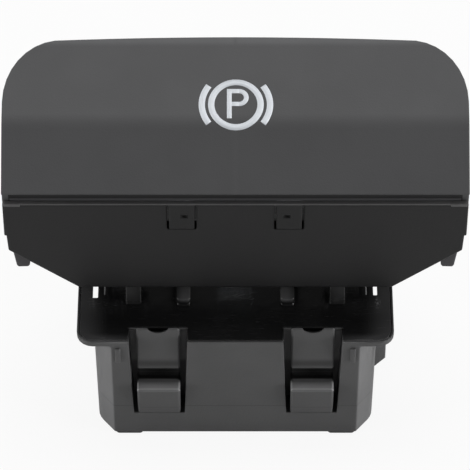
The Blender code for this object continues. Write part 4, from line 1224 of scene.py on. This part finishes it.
@dataclass
class Plate:
    """The black plate with the hinge ears."""

    slot_x: float = 19.8
    slot_reach: float = 0.6
    slot_front: float = -7.6
    opening_half_depth: float = 8.0
    trims: tuple[SlotTrim, ...] = (
        SlotTrim(Side.LEFT, inner=0.22, outer=0.0, front=0.35),
        SlotTrim(Side.RIGHT, inner=0.28, outer=0.14, front=0.85),
    )
    slit_inner: float = 18.5
    slit_reach: float = 0.5
    slit_front: float = -7.2
    slit_share: float = 0.45
    slit_close: float = 0.45
    half_width: float = 21.75
    half_depth: float = 15.2
    corner: float = 2.0
    lid_bottom: float = 19.95
    lid_top: float = 20.65
    reach: float = 0.27
    tolerance: float = 0.2

    def refine(self, shape: Shape) -> None:
        """Fits the lid to the rim and trims its openings."""
        self.meet_rim(shape)
        self.trim_openings(shape)

    def trim_openings(self, shape: Shape) -> None:
        """Narrows the wide opening and the slit beside it at both ends.

        Args:
            shape: the plate.
        """
        for trim in self.trims:
            sign = trim.side.value
            for vert in shape.verts:
                x, y, z = vert.co.x * sign / MM, vert.co.y / MM, vert.co.z / MM
                if not self.lid_bottom < z < self.lid_top or abs(y) > self.opening_half_depth:
                    continue
                if abs(x - self.slit_inner) < self.slit_reach:
                    narrow = self.slit_inner + (x - self.slit_inner) * self.slit_share
                    vert.co.x = narrow * sign * MM
                    vert.co.y += self.slit_close * MM if y < self.slit_front else 0.0
                elif abs(x - self.slot_x) < self.slot_reach:
                    vert.co.x += (trim.inner if x < self.slot_x else -trim.outer) * sign * MM
                    vert.co.y += trim.front * MM if y < self.slot_front else 0.0

    def meet_rim(self, shape: Shape) -> None:
        """Draws the lid's outer edge out until it meets the rim around it.

        Args:
            shape: the plate.
        """
        for vert in shape.verts:
            x, y, z = vert.co / MM
            if not self.lid_bottom < z < self.lid_top:
                continue
            across = max(0.0, abs(x) - self.half_width + self.corner)
            along = max(0.0, abs(y) - self.half_depth + self.corner)
            away = math.hypot(across, along)
            if away > self.corner - self.tolerance:
                vert.co.x += math.copysign(across / away * self.reach, x) * MM
                vert.co.y += math.copysign(along / away * self.reach, y) * MM

    def build(self, finishes: Finishes) -> None:
        """Dresses the plate."""
        dress_copy("plate", "top_frame", finishes.plate, Body.BASE, "frame_plastic", self.refine)


@dataclass
class ReturnSpring:
    """A torsion spring on a pivot pin: coils, a standing leg and a lying leg."""

    side: Side
    coil_start: float = 16.07
    coil_span: float = 1.89
    coil_radius: float = 1.95
    wire_radius: float = 0.27
    turns: float = 2.25
    steps: int = 90
    sides: int = 12
    standing_leg: float = 5.6
    lying_leg: Point = (4.6, 21.17)

    def shape(self) -> Shape:
        """Bends the wire.

        Returns:
            The wire.
        """
        wire = bmesh.new()
        sign = self.side.value
        y, z = PIVOT
        low = z - self.coil_radius
        start = Vector((sign * self.coil_start, y - self.coil_radius, z)) * MM
        place = Matrix.Translation(start)
        ring = bmesh.ops.create_circle(
            wire, cap_ends=False, segments=self.sides, radius=self.wire_radius * MM, matrix=place
        )["verts"]
        edges = list({edge for vert in ring for edge in vert.link_edges})
        centre = Vector((0.0, y, z)) * MM
        turn, advance = math.tau * self.turns, sign * self.coil_span / self.steps * MM
        coil = spun(wire, [*ring, *edges], centre, AXLE, turn, self.steps, advance)
        self._leg(wire, edges, Vector((0.0, 0.0, self.standing_leg)) * MM)
        last = [item for item in coil if isinstance(item, bmesh.types.BMEdge)]
        self._leg(wire, last, Vector((0.0, self.lying_leg[0], self.lying_leg[1] - low)) * MM)
        bmesh.ops.holes_fill(wire, edges=wire.edges, sides=0)
        bmesh.ops.recalc_face_normals(wire, faces=wire.faces)
        return wire

    @staticmethod
    def _leg(wire: Shape, edges: Iterable[bmesh.types.BMEdge], move: Vector) -> None:
        """Draws an end of the wire out along a straight line.

        Args:
            wire: the wire so far.
            edges: the ring at its end.
            move: how far it goes, in metres.
        """
        grown = bmesh.ops.extrude_edge_only(wire, edges=list(edges))["geom"]
        tips = [item for item in grown if isinstance(item, bmesh.types.BMVert)]
        bmesh.ops.translate(wire, verts=tips, vec=move)

    def build(self, finishes: Finishes) -> None:
        """Shows the spring.

        Args:
            finishes: every finish.
        """
        label = self.side.name.lower()
        piece = new_piece(f"spring_{label}", self.shape(), finishes.wire, 50.0)
        show(piece, Body.BASE, "steel", f"return_spring_{label}")


@dataclass
class PivotPin:
    """A headed steel pin, turned as one piece with a domed head and a chamfered tip."""

    side: Side
    head_start: float = 12.5
    head_end: float = 13.15
    tip: float = 20.43
    radius: float = 1.2
    head_radius: float = 1.9
    face_radius: float = 1.178
    dome: tuple[Point, Point] = ((0.16, 0.12), (0.3, 0.0))
    chamfer: float = 0.25
    steps: int = 40

    def shape(self) -> Shape:
        """Spins the pin from its half profile.

        Returns:
            The pin.
        """
        pin = bmesh.new()
        sign = self.side.value
        y, z = PIVOT
        profile = [
            (self.head_start, 0.0),
            (self.head_start, self.face_radius),
            *((self.head_start + along, self.head_radius - inward) for along, inward in self.dome),
            (self.head_end, self.head_radius),
            (self.head_end, self.radius),
            (self.tip - self.chamfer, self.radius),
            (self.tip, self.radius - self.chamfer),
            (self.tip, 0.0),
        ]
        verts = [pin.verts.new(Vector((sign * x, y + radius, z)) * MM) for x, radius in profile]
        edges = [pin.edges.new(pair) for pair in zip(verts, verts[1:])]
        centre = Vector((0.0, y, z)) * MM
        spun(pin, [*verts, *edges], centre, AXLE, math.tau, self.steps, closed=True)
        bmesh.ops.remove_doubles(pin, verts=pin.verts, dist=WELD / 2 * MM)
        bmesh.ops.recalc_face_normals(pin, faces=pin.faces)
        return pin

    def build(self, finishes: Finishes) -> None:
        """Shows the pin.

        Args:
            finishes: every finish.
        """
        label = self.side.name.lower()
        piece = new_piece(f"pin_{label}", self.shape(), finishes.steel, 35.0)
        show(piece, Body.BASE, "steel", f"pivot_pin_{label}")


@dataclass
class Contacts:
    """The contact carriage, its wipers and what stands on the board."""

    def build(self, finishes: Finishes) -> None:
        """Dresses the inner pieces.

        Args:
            finishes: every finish.
        """
        dress_copy(
            "carriage_block", "contact_slider", finishes.slider, Body.CARRIAGE, "carriage_plastic"
        )
        dress_copy("board", "circuit_board", finishes.board, Body.BASE, "board_laminate")
        dress_copy("lamp", "led", finishes.lamp, Body.BASE, "lamp_plastic")
        for side in Side:
            label = side.name.lower()
            dress_node(f"resistor_{label}", finishes.chip)
            dress_node(f"wiper_{label}", finishes.bronze)


@dataclass(frozen=True)
class Softbox:
    """A rectangular lamp that faces the switch: lengths in metres, power in watts."""

    name: str
    place: Triple
    size: Point
    power: float
    aim_height: float = 0.03

    def hang(self) -> None:
        """Adds the lamp."""
        data = bpy.data.lights.new(self.name, "AREA")
        data.shape = "RECTANGLE"
        data.size, data.size_y = self.size
        data.energy = self.power
        lamp = added(self.name, data)
        lamp.location = self.place
        aim = Vector((0.0, 0.0, self.aim_height)) - lamp.location
        lamp.rotation_euler = aim.to_track_quat("-Z", "Y").to_euler()


@dataclass
class Studio:
    """The camera at the photograph's angle, the pale floor and the soft lights, in metres."""

    elevation: float = 48.0
    distance: float = 0.5
    target_height: float = 0.02566
    focal_pixels: float = 3512.6
    shift_pixels: float = -0.4
    world_strength: float = 0.13
    floor_reach: float = 1.5
    floor_drop: float = 0.00005
    floor_white: float = 0.9
    lamps: tuple[Softbox, ...] = (
        Softbox("light_above", (0.0, 0.21, 0.7), (0.7, 0.35), 3.15),
        Softbox("light_left", (-0.58, -0.14, 0.16), (0.35, 0.35), 2.45),
        Softbox("light_right", (0.58, -0.14, 0.14), (0.35, 0.35), 3.5),
    )

    def camera(self) -> None:
        """Sets the camera."""
        data = bpy.data.cameras.new("camera")
        data.sensor_width = 36.0
        data.lens = self.focal_pixels * data.sensor_width / PHOTO_SIDE
        data.shift_x = self.shift_pixels / PHOTO_SIDE
        camera = added("camera", data)
        angle = math.radians(self.elevation)
        height = self.target_height + self.distance * math.sin(angle)
        camera.location = (0.0, -self.distance * math.cos(angle), height)
        camera.rotation_euler = (math.pi / 2 - angle, 0.0, 0.0)
        bpy.context.scene.camera = camera

    def floor(self) -> None:
        """Lays the pale floor, which shows white to the camera and keeps the shadow."""
        shape = bmesh.new()
        place = Matrix.Translation((0.0, 0.0, -self.floor_drop))
        size = self.floor_reach
        bmesh.ops.create_grid(shape, x_segments=1, y_segments=1, size=size, matrix=place)
        recipe = Recipe.material("pale_floor")
        tone = recipe.noise(recipe.place()[0], 40.0)
        pale = recipe.node("BsdfPrincipled", {}, {
            "Base Color": recipe.tint(tone * 0.2, (0.82, 0.82, 0.82), (0.78, 0.78, 0.78)),
            "Roughness": 0.8,
        })[0]
        share = recipe.node("LightPath", {}, {})[0] * self.floor_white
        white = recipe.node("Emission", {}, {"Color": WHITE, "Strength": 1.0})[0]
        mixed = recipe.node("MixShader", {}, {0: share, 1: pale, 2: white})[0]
        recipe.node("OutputMaterial", {}, {0: mixed})
        floor = new_piece("floor", shape, recipe.owner)
        floor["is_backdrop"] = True

    def world(self) -> None:
        """Surrounds the switch with even light that shows white to the camera."""
        recipe = Recipe(bpy.data.worlds.new("studio"))
        seen = recipe.node("LightPath", {}, {})[0]
        levels = {0: seen, 2: self.world_strength, 3: 1.0}
        level = recipe.node("Mix", {"data_type": "FLOAT"}, levels)[0]
        light = recipe.node("Background", {}, {"Color": WHITE, "Strength": level})[0]
        recipe.node("OutputWorld", {}, {0: light})
        bpy.context.scene.world = recipe.owner

    def build(self) -> None:
        """Sets the whole stage."""
        bpy.context.scene.view_settings.view_transform = "Standard"
        self.camera()
        self.floor()
        self.world()
        for lamp in self.lamps:
            lamp.hang()


def main() -> None:
    """Builds the switch and its stage."""
    logging.basicConfig(level=logging.INFO, format="%(message)s")
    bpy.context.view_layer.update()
    Studio().build()
    finishes = Finishes()
    assemblies = [Paddle(), Plate(), Socket(), Contacts()]
    assemblies += [ReturnSpring(side) for side in Side] + [PivotPin(side) for side in Side]
    for assembly in assemblies:
        assembly.build(finishes)
        LOG.info("built %s", type(assembly).__name__)
    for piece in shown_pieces():
        LOG.info("piece %s: %d faces", piece.name, len(piece.data.polygons))


if __name__ == "__main__":
    main()
